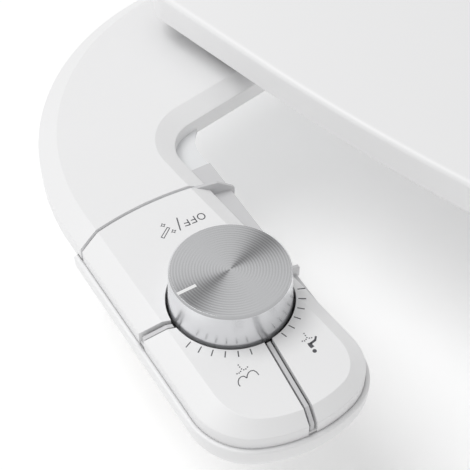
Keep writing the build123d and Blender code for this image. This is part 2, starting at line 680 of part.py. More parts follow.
def make_tubes():
    """Three water tubes from the valve, round the arm and along the base to the manifold."""
    bend = {"rear": (-246.0, -4.0), "front": (-240.0, -11.5), "clean": (-234.0, -19.0)}
    start = {
        "rear": [(-port_x, port_y, port_z), (-port_x, 31, port_z), (-11, 51, tube_z), (-8, 82, tube_z)],
        "front": [(port_x, port_y, port_z), (port_x, 31, port_z), (8, 51, tube_z), (-1.5, 82, tube_z)],
        "clean": [(valve_r + 3, 0, port_z), (24, 0, port_z), (24, 16, port_z), (16, 42, tube_z),
                  (13.5, 56, tube_z), (5, 82, tube_z)],
    }
    for name, row in tube_rows.items():
        route = [(*from_pod(x, y), z) for x, y, z in start[name]]
        route += [(*bend[name], tube_z), (tube_straight_x, row, tube_z), (-housing_foot[0], row, tube_z)]
        points = [Vector(*p) for p in route]
        radii = []
        for a, b, c in zip(points, points[1:], points[2:]):
            turn = (b - a).get_angle(c - b)
            room = 0.45 * min((b - a).length, (c - b).length)
            radii.append(min(room / tan(radians(turn) / 2), tube_bend_r))
        print(f"tube_{name} radii", [round(r, 1) for r in radii])
        path = FilletPolyline(*points, radius=radii)
        section = Plane(origin=points[0], z_dir=points[1] - points[0]) * Circle(tube_r)
        tube = sweep(section, path=path)
        expect = section.area * path.length
        print(f"tube_{name} volume {tube.volume:.0f} of {expect:.0f}, length {path.length:.0f}")
        add(f"water_tube_{name}", tube)
    clips = []
    for x in clip_xs:
        clip = block(x - clip_w / 2, x + clip_w / 2, clip_from, clip_to, pan_t, clip_top)
        for row in tube_rows.values():
            clip -= cross_post(x - 10, x + 10, row, tube_z, tube_r + running_gap)
        clips.append(clip)
    add("tube_clips", group(*clips))
    half, _, rear, top = housing_foot
    add("nozzle_manifold", block(-half, half, rear, manifold_rear, pan_t, top))


# ---- Nozzles, on their own axes: x across, y up from the slope, z along the travel ----
def make_nozzle_block():
    """Housing with two bores, the pin on top of its mouth and the guard that swings on it."""
    bore_r = piston_r + 0.1
    half = nozzle_x + bore_r + barrel_wall
    thick = bore_r + barrel_wall
    pin_y, pin_z = thick + guard_pin_up, barrel_len - guard_pin_back
    housing = block(-half, half, -thick, thick, -6, barrel_len)
    for x in (-half + guard_lug / 2, half - guard_lug / 2):
        housing += block(x - guard_lug / 2, x + guard_lug / 2, thick, thick + 4.5, pin_z - 4, pin_z + 4)
    housing = nozzle_place * housing
    foot_half, front, rear, top = housing_foot
    housing += block(-foot_half, foot_half, front, rear, pan_t + 0.2, top)
    for x in (-nozzle_x, nozzle_x):
        housing -= nozzle_place * post(x, 0, 0, collar_s, bore_r)
        housing -= nozzle_place * post(x, 0, 0, barrel_len + 5, nozzle_r + 0.1)
    pin = cross_post(-half - 5, half + 5, pin_y, pin_z, screw_r + 0.02)
    add("nozzle_block", housing - nozzle_place * pin)
    add("guard_pin", nozzle_place * cross_post(-half, half, pin_y, pin_z, screw_r))
    inside = half - guard_lug - 0.4
    face_top = barrel_len + guard_face_from + guard_face_t
    eye = cross_post(-inside, inside, pin_y, pin_z, guard_eye_r)
    roof = block(-inside, inside, thick + 0.6, thick + 3.0, pin_z, face_top)
    face = block(-half, half, -thick - 1.5, thick + 3.0, face_top - guard_face_t, face_top)
    guard = eye + roof + face
    guard -= cross_post(-half - 5, half + 5, pin_y, pin_z, screw_r + running_gap)
    for x in (-nozzle_x, nozzle_x):
        gap = nozzle_r + 0.7
        guard -= post(x, 0, barrel_len + 5, face_top + 5, gap)
        guard -= block(x - gap, x + gap, -thick - 5, 0, barrel_len + 5, face_top + 5)
    add("nozzle_guard", nozzle_place * guard)


def make_nozzles():
    """Two nozzle tubes, each with a piston, its seal, a spray tip and a return spring."""
    for side, name in ((-1, "rear"), (1, "front")):
        x = side * nozzle_x
        tube = post(x, 0, 0.5, 0.5 + piston_len, piston_r)
        tube += post(x, 0, 0.5 + piston_len, barrel_len, nozzle_r)
        tube -= post(x, 0, 2.2, 3.8, 9) - post(x, 0, 2, 4, piston_r - 1.2)
        tube -= post(x, 0, -1, barrel_len + 1, nozzle_r - 1.5)
        add(f"nozzle_tube_{name}", nozzle_place * tube)
        add(f"nozzle_seal_{name}", nozzle_place * (Pos(x, 0, 3.0) * Torus(piston_r - 0.55, 0.6)))
        tip = post(x, 0, barrel_len, barrel_len + tip_len, nozzle_r)
        tip = fillet(tip.edges().group_by(Axis.Z)[-1], 2.5)
        tip -= post(x, 0, barrel_len - 1, barrel_len + 4, nozzle_r - 1.5)
        for dx, dz in spray_holes:
            tip -= Pos(x + dx, 3.5, barrel_len + dz) * Rot(90, 0, 0) * Cylinder(spray_r, 6)
        add(f"nozzle_tip_{name}", nozzle_place * tip)
        gap = collar_s - 0.5 - piston_len - 2 * spring_wire_r - 0.2
        coil_r = (nozzle_r + piston_r + 0.1) / 2
        helix = Helix(gap / spring_turns, gap, coil_r)
        section = Plane(origin=helix @ 0, z_dir=helix % 0) * Circle(spring_wire_r)
        wire = sweep(section, path=helix, is_frenet=True)
        start = 0.5 + piston_len + spring_wire_r + 0.1
        add(f"nozzle_spring_{name}", nozzle_place * Pos(x, 0, start) * wire)


add("base_cover", make_base_cover())
add("base_pan", make_base_pan())
make_bolt_set()
make_cover_screws()
make_hinges()
make_seat()
make_lid()
make_panels()
add("pod_frame", make_pod_frame())
add("pod_tub", make_pod_tub())
make_tub_screws()
make_dial()
make_valve()
make_inlet()
make_tubes()
make_nozzle_block()
make_nozzles()

os.makedirs("parts", exist_ok=True)
for name, shape in parts.items():
    export_step(shape, f"parts/{name}.step")
print(len(parts), "nodes")
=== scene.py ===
"""Bidet seat with a side control arm: the finished surfaces and materials, laid out as a Blender add-on.

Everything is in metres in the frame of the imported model: the origin is midway between the seat bolts on
the underside of the base, +Z is up, a seated user faces -Y and the control pod is on -X.
"""

import json
import math

import bmesh
import bpy
import numpy as np
from bpy.props import FloatProperty, FloatVectorProperty, PointerProperty
from mathutils import Matrix, Vector


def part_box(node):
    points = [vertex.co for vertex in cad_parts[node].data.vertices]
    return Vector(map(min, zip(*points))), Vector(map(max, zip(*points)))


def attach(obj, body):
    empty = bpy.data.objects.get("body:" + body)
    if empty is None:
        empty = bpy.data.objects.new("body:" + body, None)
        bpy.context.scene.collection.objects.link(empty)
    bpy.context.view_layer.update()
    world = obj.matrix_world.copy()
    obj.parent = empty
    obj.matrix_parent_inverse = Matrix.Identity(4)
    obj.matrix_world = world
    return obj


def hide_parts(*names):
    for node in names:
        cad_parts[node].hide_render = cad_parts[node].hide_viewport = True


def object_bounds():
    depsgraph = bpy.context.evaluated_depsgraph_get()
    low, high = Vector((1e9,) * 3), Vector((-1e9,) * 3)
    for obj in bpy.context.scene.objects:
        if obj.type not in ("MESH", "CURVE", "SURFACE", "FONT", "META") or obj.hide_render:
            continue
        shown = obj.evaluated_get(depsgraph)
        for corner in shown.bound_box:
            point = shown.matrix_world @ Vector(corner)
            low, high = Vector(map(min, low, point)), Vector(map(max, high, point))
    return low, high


bl_info = {
    "name": "Bidet seat with side control arm",
    "version": (1, 0, 0),
    "blender": (4, 5, 0),
    "location": "View3D > Sidebar > Bidet seat",
    "description": "Builds the covers, panels, dial, lid, seat ring and printed marks of a bidet seat",
    "category": "Object",
}

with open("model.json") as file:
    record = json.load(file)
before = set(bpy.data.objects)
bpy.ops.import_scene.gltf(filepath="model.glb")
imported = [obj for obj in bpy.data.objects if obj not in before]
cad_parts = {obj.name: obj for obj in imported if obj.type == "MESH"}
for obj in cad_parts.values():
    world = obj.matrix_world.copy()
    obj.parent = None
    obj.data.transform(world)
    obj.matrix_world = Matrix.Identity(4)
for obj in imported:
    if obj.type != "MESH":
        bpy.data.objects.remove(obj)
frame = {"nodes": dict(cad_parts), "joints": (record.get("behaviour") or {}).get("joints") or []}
CAD_BOX = [list(corner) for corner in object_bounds()]
MM = 0.001
DIAL = next(j for j in frame["joints"] if j["name"] == "dial_turn")["pos_m"]
DECK_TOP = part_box("panel_stop")[1].z
COVER_LOW, COVER_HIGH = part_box("base_cover")
PANEL_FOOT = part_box("panel_stop")[0].z
TUB_LOW, TUB_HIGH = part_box("pod_tub")
CAP_LOW, CAP_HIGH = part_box("dial_cap")
LID_LOW, LID_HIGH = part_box("lid_shell")
RING_LOW, RING_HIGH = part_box("seat_ring")
BOLT_X = (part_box("seat_bolts")[1].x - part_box("seat_bolts")[0].x) / 2 - 7.0 * MM


def length(name, text, value, **more):
    """A length property in metres, given in millimetres."""
    return FloatProperty(name=name, description=text, default=value * MM, unit="LENGTH", precision=5, **more)


class DeckSizes(bpy.types.PropertyGroup):
    """Plan and section of base, arm and pod panels."""

    pod_turn: FloatProperty(name="Pod turn", description="How far the pod splays outwards",
                            default=math.radians(11.2), subtype="ANGLE")
    pod_half: length("Pod half width", "Half width of the pod at the foot of its bevel", 35.85)
    pod_inner_root: length("Inner root", "Half width on the inner side at the base", 38.0)
    pod_inner_front: length("Inner front", "Half width on the inner side at the front", 30.8)
    pod_front: length("Pod front", "From the dial axis to the front of the pod", 59.6)
    pod_front_r: length("Front bow", "Radius of the pod's front edge", 52.0)
    pod_outer_corner_r: length("Outer corner", "Radius of the pod's outer front corner", 24.0)
    pod_inner_corner_r: length("Inner corner", "Radius of the pod's inner front corner", 20.0)
    arm_outer_r: length("Arm sweep", "Radius of the arm's outer edge", 126.25)
    arm_inner_r: length("Inside corner", "Radius of the arm's inner edge", 17.75)
    end_r: length("End corner", "Plan radius of the plain end", 24.0)
    bevel_run: length("Bevel run", "Width of the bevel seen from above", 8.4)
    bevel_run_front: length("Front bevel run", "The same across the pod's front", 4.7)
    bevel_run_inner: length("Inner bevel run", "The same along the pod's inner side", 6.9)
    bevel_drop: length("Bevel drop", "Height of the bevel", 4.4)
    wall: length("Wall", "Thickness of the covers", 2.4)
    seam_r: length("Seam arch", "Radius of the seam between arm and panel", 120.0)
    seam_y: length("Seam place", "From the dial axis back to the seam's crown", 58.5)
    seam_gap: length("Seam gap", "Width of the seam", 1.5)
    groove_y: length("Groove meeting point", "Where the side grooves would meet, from the dial axis", -7.9)
    groove_sweep: FloatProperty(name="Groove sweep", description="How far the side grooves lean to the rear",
                                default=math.radians(18.0), subtype="ANGLE")
    side_groove_w: length("Side groove", "Width of the side grooves", 3.8)
    front_groove_w: length("Front groove", "Width of the front groove", 3.4)
    front_groove_x: length("Front groove place", "Where the front groove's line passes the dial axis", 3.9)
    front_groove_tilt: FloatProperty(name="Front groove tilt", description="Slant of the front groove",
                                     default=math.radians(7.1), subtype="ANGLE")
    well_r: length("Dial well", "Radius of the round opening for the dial", 24.3)
    ridge_r: length("Ridge rounding", "Rounding of the ridge between deck and bevel", 0.8)
    edge_r: length("Edge rounding", "Rounding of cut edges", 0.5)


class LidSizes(bpy.types.PropertyGroup):
    """Plan and section of lid and seat ring."""

    half: length("Half width", "Half width of the lid", 183.0)
    straight: length("Straight sides", "Where the parallel sides end", -65.0)
    side_r: length("Side bow", "Radius of the bowed sides", 811.0)
    front_r: length("Front radius", "Radius of the round front", 128.0)
    corner_r: length("Rear corner", "Plan radius of the rear corners", 16.0)
    edge_r: length("Edge rounding", "Rounding between side and top", 2.5)
    crown: length("Crown", "Rise of the lid's top to its middle", 0.3)
    wall: length("Wall", "Thickness of the lid", 3.5)
    seat_inset: length("Seat inset", "How far the ring's edge lies inside the lid's", 9.0)
    seat_edge_r: length("Seat edge", "Rounding of the ring's upper edges", 6.0)
    hole_half: length("Hole half width", "Half width of the seat hole", 105.0)
    hole_from: length("Hole rear", "Rear end of the seat hole", -75.0)
    hole_to: length("Hole front", "Front end of the seat hole", -400.0)


class Finishes(bpy.types.PropertyGroup):
    """Colours."""

    white: FloatVectorProperty(name="White", description="Covers", subtype="COLOR", size=3,
                               default=(0.90, 0.90, 0.905))
    lid_white: FloatVectorProperty(name="Lid white", description="Lid and seat", subtype="COLOR", size=3,
                                   default=(0.91, 0.91, 0.915))
    metal: FloatVectorProperty(name="Metal", description="Turned aluminium", subtype="COLOR", size=3,
                               default=(0.80, 0.805, 0.82))
    ink: FloatVectorProperty(name="Ink", description="Printed marks", subtype="COLOR", size=3,
                             default=(0.09, 0.09, 0.10))


class StageSettings(bpy.types.PropertyGroup):
    """Camera, lights and floor."""

    lens: FloatProperty(name="Lens", description="Focal length in millimetres", default=78.9)
    distance: length("Distance", "From the camera to the dial's top", 370.0)
    pitch: FloatProperty(name="Pitch", description="How far the camera looks down", default=0.8335,
                         subtype="ANGLE")
    heading: FloatProperty(name="Heading", description="Turn of the camera about the vertical",
                           default=math.radians(-43.0), subtype="ANGLE")
    floor_gap: length("Floor gap", "Room between the lowest point and the floor", 2.0)


# ---- Shapes as arrays ----
def pod_to_deck(x, y):
    """A point on the pod's own axes (x across, y to the rear, through the dial) in the part's frame."""
    turn = bpy.context.scene.deck_sizes.pod_turn
    c, s = math.cos(turn), math.sin(turn)
    return DIAL[0] + c * x + s * y, DIAL[1] - s * x + c * y


def rounded_outline(corners, step):
    """Closed outline, counterclockwise, of straight runs joined by tangent arcs.

    corners is a list of (x, y, radius). Each arc starts where the run leaves the corner by
    radius * tan(turn / 2). Returns the points and their outward unit normals, about step apart.
    """
    xy = np.array([c[:2] for c in corners], float)
    radii = np.array([c[2] for c in corners], float)
    ahead = np.roll(xy, -1, 0) - xy
    ahead /= np.linalg.norm(ahead, axis=1)[:, None]
    behind = np.roll(ahead, 1, 0)
    cross = behind[:, 0] * ahead[:, 1] - behind[:, 1] * ahead[:, 0]
    turn = np.arctan2(cross, (behind * ahead).sum(1))
    reach = radii * np.tan(np.abs(turn) / 2)
    starts, ends = xy - behind * reach[:, None], xy + ahead * reach[:, None]
    points, normals = [], []
    for i in range(len(xy)):
        side = np.sign(turn[i])
        out = np.array([behind[i][1], -behind[i][0]])
        centre = starts[i] - out * radii[i] * side
        count = max(int(abs(turn[i]) * radii[i] / step), 6)
        angle = np.linspace(0, turn[i], count + 1)
        c, s = np.cos(angle), np.sin(angle)
        n = np.stack([c * out[0] - s * out[1], s * out[0] + c * out[1]], 1)
        points.append(centre + n * radii[i] * side)
        normals.append(n)
        j = (i + 1) % len(xy)
        run = starts[j] - ends[i]
        count = int(np.linalg.norm(run) / step)
        if count > 1:
            t = np.linspace(0, 1, count + 1)[1:-1, None]
            points.append(ends[i] + run * t)
            normals.append(np.repeat([[ahead[i][1], -ahead[i][0]]], len(t), 0))
    points, normals = np.concatenate(points), np.concatenate(normals)
    keep = np.linalg.norm(points - np.roll(points, 1, 0), axis=1) > step * 0.05
    return points[keep], normals[keep]


def rounded_profile(knots, steps=6):
    """Open section line through (inset, height, radius) knots, each inner corner rounded by its radius."""
    pts = [np.array(knots[0][:2], float)]
    for (ax, ay, _), (bx, by, r), (cx, cy, _) in zip(knots, knots[1:], knots[2:]):
        a, b, c = np.array([ax, ay]), np.array([bx, by]), np.array([cx, cy])
        u, v = (a - b) / np.linalg.norm(a - b), (c - b) / np.linalg.norm(c - b)
        half = math.acos(max(-1.0, min(1.0, float(u @ v)))) / 2
        if r <= 0 or abs(half - math.pi / 2) < 1e-4:
            pts.append(b)
            continue
        reach = r / math.tan(half)
        t = np.linspace(0, 1, steps + 1)
        sweep = math.pi - 2 * half
        centre = b + (u + v) / np.linalg.norm(u + v) * r / math.sin(half)
        start = b + u * reach - centre
        arc_end = b + v * reach - centre
        turn = np.sign(start[0] * arc_end[1] - start[1] * arc_end[0]) * sweep
        for a_ in turn * t:
            pts.append(centre + np.array([start[0] * math.cos(a_) - start[1] * math.sin(a_),
                                          start[0] * math.sin(a_) + start[1] * math.cos(a_)]))
    pts.append(np.array(knots[-1][:2], float))
    return np.array(pts)


def rim_rows(points, normals, profile):
    """Rows of a rim: each section point moves the whole outline inwards and sets its height."""
    plan = points[None] - profile[:, None, :1] * normals[None]
    return np.concatenate([plan, np.broadcast_to(profile[:, None, 1:], (*plan.shape[:2], 1))], 2)


def grid_faces(rows, columns, first=0, closed=True):
    """Quads between neighbouring rows of a grid, joined round where it is closed."""
    i, j = np.meshgrid(np.arange(rows - 1), np.arange(columns if closed else columns - 1), indexing="ij")
    k = (j + 1) % columns
    quads = np.stack([i * columns + j, i * columns + k, (i + 1) * columns + k, (i + 1) * columns + j], -1)
    return (quads.reshape(-1, 4) + first).tolist()


def make_piece(name, vertices, faces, outward=True):
    """A mesh object at the origin from arrays, its faces turned outwards."""
    mesh = bpy.data.meshes.new(name)
    mesh.from_pydata(np.asarray(vertices).reshape(-1, 3).tolist(), [], faces)
    if outward:
        bm = bmesh.new()
        bm.from_mesh(mesh)
        bmesh.ops.remove_doubles(bm, verts=bm.verts, dist=1e-7)
        bmesh.ops.recalc_face_normals(bm, faces=bm.faces)
        bm.to_mesh(mesh)
        bm.free()
    mesh.validate()
    piece = bpy.data.objects.new(name, mesh)
    bpy.context.scene.collection.objects.link(piece)
    return piece


def closed_rim(name, rows):
    """A solid from stacked closed rows, flat at both ends."""
    count = rows.shape[1]
    faces = grid_faces(rows.shape[0], count)
    faces.append(list(range(count)))
    faces.append(list(range((rows.shape[0] - 1) * count, rows.shape[0] * count)))
    return make_piece(name, rows, faces)


def lathe(name, profile, centre, segments):
    """A turned piece: a section of (radius, height) carried round an upright axis, its ends closed."""
    angle = np.linspace(0, 2 * math.pi, segments, endpoint=False)
    ring = np.stack([np.cos(angle), np.sin(angle)], 1)
    plan = profile[:, None, :1] * ring[None] + np.array(centre[:2])
    rows = np.concatenate([plan, np.broadcast_to(profile[:, None, 1:], (*plan.shape[:2], 1))], 2)
    return closed_rim(name, rows)


def prism(name, corners, low, high):
    """An upright solid over a flat polygon."""
    corners = np.array(corners, float)
    rows = np.stack([np.c_[corners, np.full(len(corners), z)] for z in (low, high)])
    return closed_rim(name, rows)


def disc(name, centre, radius, low, high, segments=512):
    """An upright cylinder."""
    angle = np.linspace(0, 2 * math.pi, segments, endpoint=False)
    across_x, along_y = radius * np.cos(angle), radius * np.sin(angle)
    return prism(name, np.c_[centre[0] + across_x, centre[1] + along_y], low, high)


def settle(piece):
    """Applies every modifier, so the piece is a plain mesh."""
    bpy.context.view_layer.update()
    held = piece.evaluated_get(bpy.context.evaluated_depsgraph_get())
    mesh = bpy.data.meshes.new_from_object(held)
    piece.modifiers.clear()
    old, piece.data = piece.data, mesh
    bpy.data.meshes.remove(old)
    return piece


def combine(piece, tool, operation):
    """Cuts, keeps or adds one solid with another and removes the tool."""
    step = piece.modifiers.new("combine", "BOOLEAN")
    step.operation, step.object, step.solver = operation, tool, "EXACT"
    settle(piece)
    bpy.data.objects.remove(tool)
    return piece


def soften(piece, width, angle=50.0, segments=3):
    """Rounds the edges sharper than angle and keeps flat faces flat in the shading."""
    if width:
        step = piece.modifiers.new("edges", "BEVEL")
        step.width, step.segments, step.limit_method = width, segments, "ANGLE"
        step.angle_limit, step.use_clamp_overlap = math.radians(angle), True
        settle(piece)
    piece.data.shade_smooth()
    piece.data.set_sharp_from_angle(angle=math.radians(40))
    step = piece.modifiers.new("normals", "WEIGHTED_NORMAL")
    step.keep_sharp, step.weight = True, 80
    return settle(piece)


def split_parts(piece):
    """The separate solids of a mesh, each as its own object."""
    bm = bmesh.new()
    bm.from_mesh(piece.data)
    bm.verts.ensure_lookup_table()
    left, parts = set(range(len(bm.verts))), []
    while left:
        stack, found = [left.pop()], []
        while stack:
            v = stack.pop()
            found.append(v)
            for edge in bm.verts[v].link_edges:
                other = edge.other_vert(bm.verts[v]).index
                if other in left:
                    left.remove(other)
                    stack.append(other)
        place = {v: n for n, v in enumerate(found)}
        faces = [[place[v.index] for v in f.verts] for f in bm.faces if f.verts[0].index in place]
        parts.append(make_piece(piece.name + "_part", [bm.verts[v].co[:] for v in found], faces, False))
    bm.free()
    bpy.data.objects.remove(piece)
    return parts


def finish_piece(piece, name, body, slot, material, *nodes):
    """Names a piece, gives it its material and body, and hides the CAD nodes that it stands for."""
    piece.name = name
    piece.data.name = name
    piece.data.materials.clear()
    piece.data.materials.append(material)
    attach(piece, body)
    if nodes:
        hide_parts(*nodes)
    return piece


def crossing(n, d, m, e):
    """Where the lines n.p = d and m.p = e cross."""
    w = n[0] * m[1] - n[1] * m[0]
    return (d * m[1] - e * n[1]) / w, (n[0] * e - m[0] * d) / w


def front_corners(grow):
    """Corner points of the pod's bowed front, outer side first, on the pod's own axes.

    Where a corner arc and the bow meet, both share the normal from the bow's centre through the
    corner's centre; the tangents there cross the sides and each other at these points.
    """
    d = bpy.context.scene.deck_sizes
    bow, centre = d.pod_front_r + grow, np.array([0.0, d.pod_front_r - d.pod_front])
    depth = np.array([d.pod_inner_root - d.pod_inner_front, -2.4 * d.pod_front_r])
    # Known fault: this side narrows toward the base, where the base's own outline widens.
    slant = np.array([-depth[1], depth[0]]) / np.linalg.norm(depth)
    start = np.array([d.pod_inner_front, -d.pod_front + 0.5 * MM])
    sides = [(np.array([-1.0, 0.0]), d.pod_half + grow, d.pod_outer_corner_r + grow),
             (slant, float(slant @ start) + grow, d.pod_inner_corner_r + grow)]
    tangents = []
    for normal, far, r in sides:
        along = np.array([normal[1], -normal[0]]) * (1 if normal[0] > 0 else -1)
        across = far - r - float(normal @ centre)
        n = normal * across + along * math.sqrt((bow - r) ** 2 - across ** 2)
        n /= np.linalg.norm(n)
        tangents.append((n, float(n @ centre) + bow))
    (side_a, far_a, r_a), (side_b, far_b, r_b) = sides
    return [(*crossing(side_a, far_a, *tangents[0]), r_a), (*crossing(*tangents[0], *tangents[1]), bow),
            (*crossing(side_b, far_b, *tangents[1]), r_b)], (side_b, far_b)


def deck_outline(step=1.0 * MM):
    """Outline of base, arm and pod at the bevel's foot, its normals and the bevel's width all round."""
    d = bpy.context.scene.deck_sizes
    c, s = math.cos(d.pod_turn), math.sin(d.pod_turn)
    right, rear, front = COVER_HIGH.x, COVER_HIGH.y, BASE_FRONT
    outer_y = (rear - DIAL[1] - s * d.pod_half) / c
    tips, (side, far) = front_corners(0)
    root = crossing(side, far, (-s, c), front - DIAL[1])
    corners = [(right, rear, d.end_r), (*pod_to_deck(-d.pod_half, outer_y), d.arm_outer_r)]
    corners += [(*pod_to_deck(x, y), r) for x, y, r in tips]
    corners += [(*pod_to_deck(*root), d.arm_inner_r), (right, front, d.end_r)]
    points, normals = rounded_outline(corners, step)
    across = c * normals[:, 0] - s * normals[:, 1]
    away = s * (points[:, 0] - DIAL[0]) + c * (points[:, 1] - DIAL[1])
    on_pod = np.clip((POD_JOIN - away) / POD_JOIN, 0, 1)
    sides = np.where(across > 0, d.bevel_run_inner, d.bevel_run)
    pod_run = sides * across ** 2 + d.bevel_run_front * (1 - across ** 2)
    return points, normals, d.bevel_run + (pod_run - d.bevel_run) * on_pod


BASE_FRONT = -45.5 * MM
POD_JOIN = 65.0 * MM


def deck_solid(name, foot):
    """Hollow blank of the deck: walls, bevel and flat top, open below.

    The section runs up the inside, over nothing, then down the outside: two stacks of rows that share
    the foot, the inner one smaller by the wall.
    """
    d = bpy.context.scene.deck_sizes
    points, normals, run = deck_outline()
    outer = rounded_profile([
        (0.0, foot, 0), (0.0, DECK_TOP - d.bevel_drop, 0.7 * MM),
        (d.bevel_run, DECK_TOP, d.ridge_r), (d.bevel_run + 2.2 * MM, DECK_TOP, 0)])
    inner = rounded_profile([
        (0, foot, 0), (0, DECK_TOP - d.bevel_drop - d.wall, 0.4 * MM),
        (d.bevel_run, DECK_TOP - d.wall, 0.4 * MM),
        (d.bevel_run + 1.0 * MM, DECK_TOP - d.wall, 0)], 2)
    share = run / d.bevel_run
    stack = []
    for section, shift in ((outer[::-1], 0.0), (inner, d.wall)):
        plan = points[None] - (section[:, None, :1] * share[None, :, None] + shift) * normals[None]
        stack.append(np.concatenate([plan, np.broadcast_to(section[:, None, 1:], (*plan.shape[:2], 1))], 2))
    return closed_rim(name, np.concatenate(stack))


def strips(side_w, front_w, name="strips"):
    """The three strips that part the panels, as one cutting solid."""
    d = bpy.context.scene.deck_sizes
    low, high, reach = -0.05, 0.05, 0.09
    h = side_w / 2
    lines = [("_right", (0, d.groove_y), d.groove_sweep, ((0, -h), (reach, -h), (reach, h), (0, h))),
             ("_left", (0, d.groove_y), -d.groove_sweep, ((-reach, -h), (0, -h), (0, h), (-reach, h))),
             ("_front", (d.front_groove_x, 0), -d.front_groove_tilt,
              ((-front_w / 2, -reach), (front_w / 2, -reach), (front_w / 2, 0), (-front_w / 2, 0)))]
    found = []
    for tag, (x0, y0), turn, outline in lines:
        c, s = math.cos(turn), math.sin(turn)
        corners = [pod_to_deck(x0 + c * x - s * y, y0 + s * x + c * y) for x, y in outline]
        found.append(prism(name + tag, corners, low, high))
    return combine(combine(found[0], found[1], "UNION"), found[2], "UNION")


def seam_disc(grow):
    """Everything in front of the arched seam."""
    d = bpy.context.scene.deck_sizes
    return disc("seam", pod_to_deck(0, d.seam_y - d.seam_r), d.seam_r + grow, -0.05, 0.05, 900)


# ---- Materials ----
MADE = {}


def new_material(name):
    material = bpy.data.materials.new(name)
    material.use_nodes = True
    MADE[name] = material
    tree = material.node_tree
    return material, tree, tree.nodes["Principled BSDF"]


def link(tree, source, target):
    tree.links.new(source, target)


def moulded_group():
    """Node group of moulded plastic: a faint cloudiness in colour and a fine satin grain in the surface."""
    if "moulded_plastic" in bpy.data.node_groups:
        return bpy.data.node_groups["moulded_plastic"]
    g = bpy.data.node_groups.new("moulded_plastic", "ShaderNodeTree")
    g.interface.new_socket("Color", in_out="INPUT", socket_type="NodeSocketColor")
    for name, value in (("Roughness", 0.35), ("Cloud", 0.02), ("Grain", 0.1), ("Grain Scale", 2500.0)):
        socket = g.interface.new_socket(name, in_out="INPUT", socket_type="NodeSocketFloat")
        socket.default_value = value
    g.interface.new_socket("Color", in_out="OUTPUT", socket_type="NodeSocketColor")
    g.interface.new_socket("Roughness", in_out="OUTPUT", socket_type="NodeSocketFloat")
    g.interface.new_socket("Normal", in_out="OUTPUT", socket_type="NodeSocketVector")
    n = g.nodes
    enter, leave = n.new("NodeGroupInput"), n.new("NodeGroupOutput")
    place = n.new("ShaderNodeTexCoord")
    cloud, grain = n.new("ShaderNodeTexNoise"), n.new("ShaderNodeTexNoise")
    cloud.inputs["Scale"].default_value, cloud.inputs["Detail"].default_value = 14.0, 3.0
    grain.inputs["Detail"].default_value = 2.0
    link(g, place.outputs["Object"], cloud.inputs["Vector"])
    link(g, place.outputs["Object"], grain.inputs["Vector"])
    link(g, enter.outputs["Grain Scale"], grain.inputs["Scale"])
    centred = n.new("ShaderNodeMath")
    centred.operation = "SUBTRACT"
    link(g, cloud.outputs["Fac"], centred.inputs[0])
    centred.inputs[1].default_value = 0.5
    amount = n.new("ShaderNodeMath")
    amount.operation = "MULTIPLY"
    link(g, centred.outputs[0], amount.inputs[0])
    link(g, enter.outputs["Cloud"], amount.inputs[1])
    level = n.new("ShaderNodeMath")
    level.operation = "ADD"
    link(g, amount.outputs[0], level.inputs[0])
    level.inputs[1].default_value = 1.0
    tint = n.new("ShaderNodeVectorMath")
    tint.operation = "SCALE"
    link(g, enter.outputs["Color"], tint.inputs[0])
    link(g, level.outputs[0], tint.inputs["Scale"])
    link(g, tint.outputs["Vector"], leave.inputs["Color"])
    rough = n.new("ShaderNodeMath")
    rough.operation = "MULTIPLY_ADD"
    link(g, centred.outputs[0], rough.inputs[0])
    rough.inputs[1].default_value = 0.12
    link(g, enter.outputs["Roughness"], rough.inputs[2])
    link(g, rough.outputs[0], leave.inputs["Roughness"])
    bump = n.new("ShaderNodeBump")
    bump.inputs["Distance"].default_value = 0.00002
    link(g, enter.outputs["Grain"], bump.inputs["Strength"])
    link(g, grain.outputs["Fac"], bump.inputs["Height"])
    link(g, bump.outputs["Normal"], leave.inputs["Normal"])
    return g


def moulded_material(name, colour, roughness, cloud=0.02, grain=0.12, grain_scale=2500.0, **sockets):
    """A moulded plastic; sockets sets plain values on the shader."""
    if name in MADE:
        return MADE[name]
    material, tree, shader = new_material(name)
    group = tree.nodes.new("ShaderNodeGroup")
    group.node_tree = moulded_group()
    group.inputs["Color"].default_value = (*colour, 1.0)
    group.inputs["Roughness"].default_value = roughness
    group.inputs["Cloud"].default_value = cloud
    group.inputs["Grain"].default_value = grain
    group.inputs["Grain Scale"].default_value = grain_scale
    link(tree, group.outputs["Color"], shader.inputs["Base Color"])
    link(tree, group.outputs["Roughness"], shader.inputs["Roughness"])
    link(tree, group.outputs["Normal"], shader.inputs["Normal"])
    for socket, value in sockets.items():
        shader.inputs[socket.replace("_", " ").title().replace("Ior", "IOR")].default_value = value
    return material


def white_cover():
    return moulded_material("white_cover", bpy.context.scene.finishes.white, 0.36, specular_ior_level=0.5)


def white_lid():
    return moulded_material("white_lid", bpy.context.scene.finishes.lid_white, 0.42, cloud=0.015, grain=0.05)


def white_inner():
    return moulded_material("white_inner", (0.84, 0.85, 0.86), 0.5, grain=0.3, grain_scale=1500.0)


def ink():
    return moulded_material("printed_ink", bpy.context.scene.finishes.ink, 0.5, cloud=0.3)


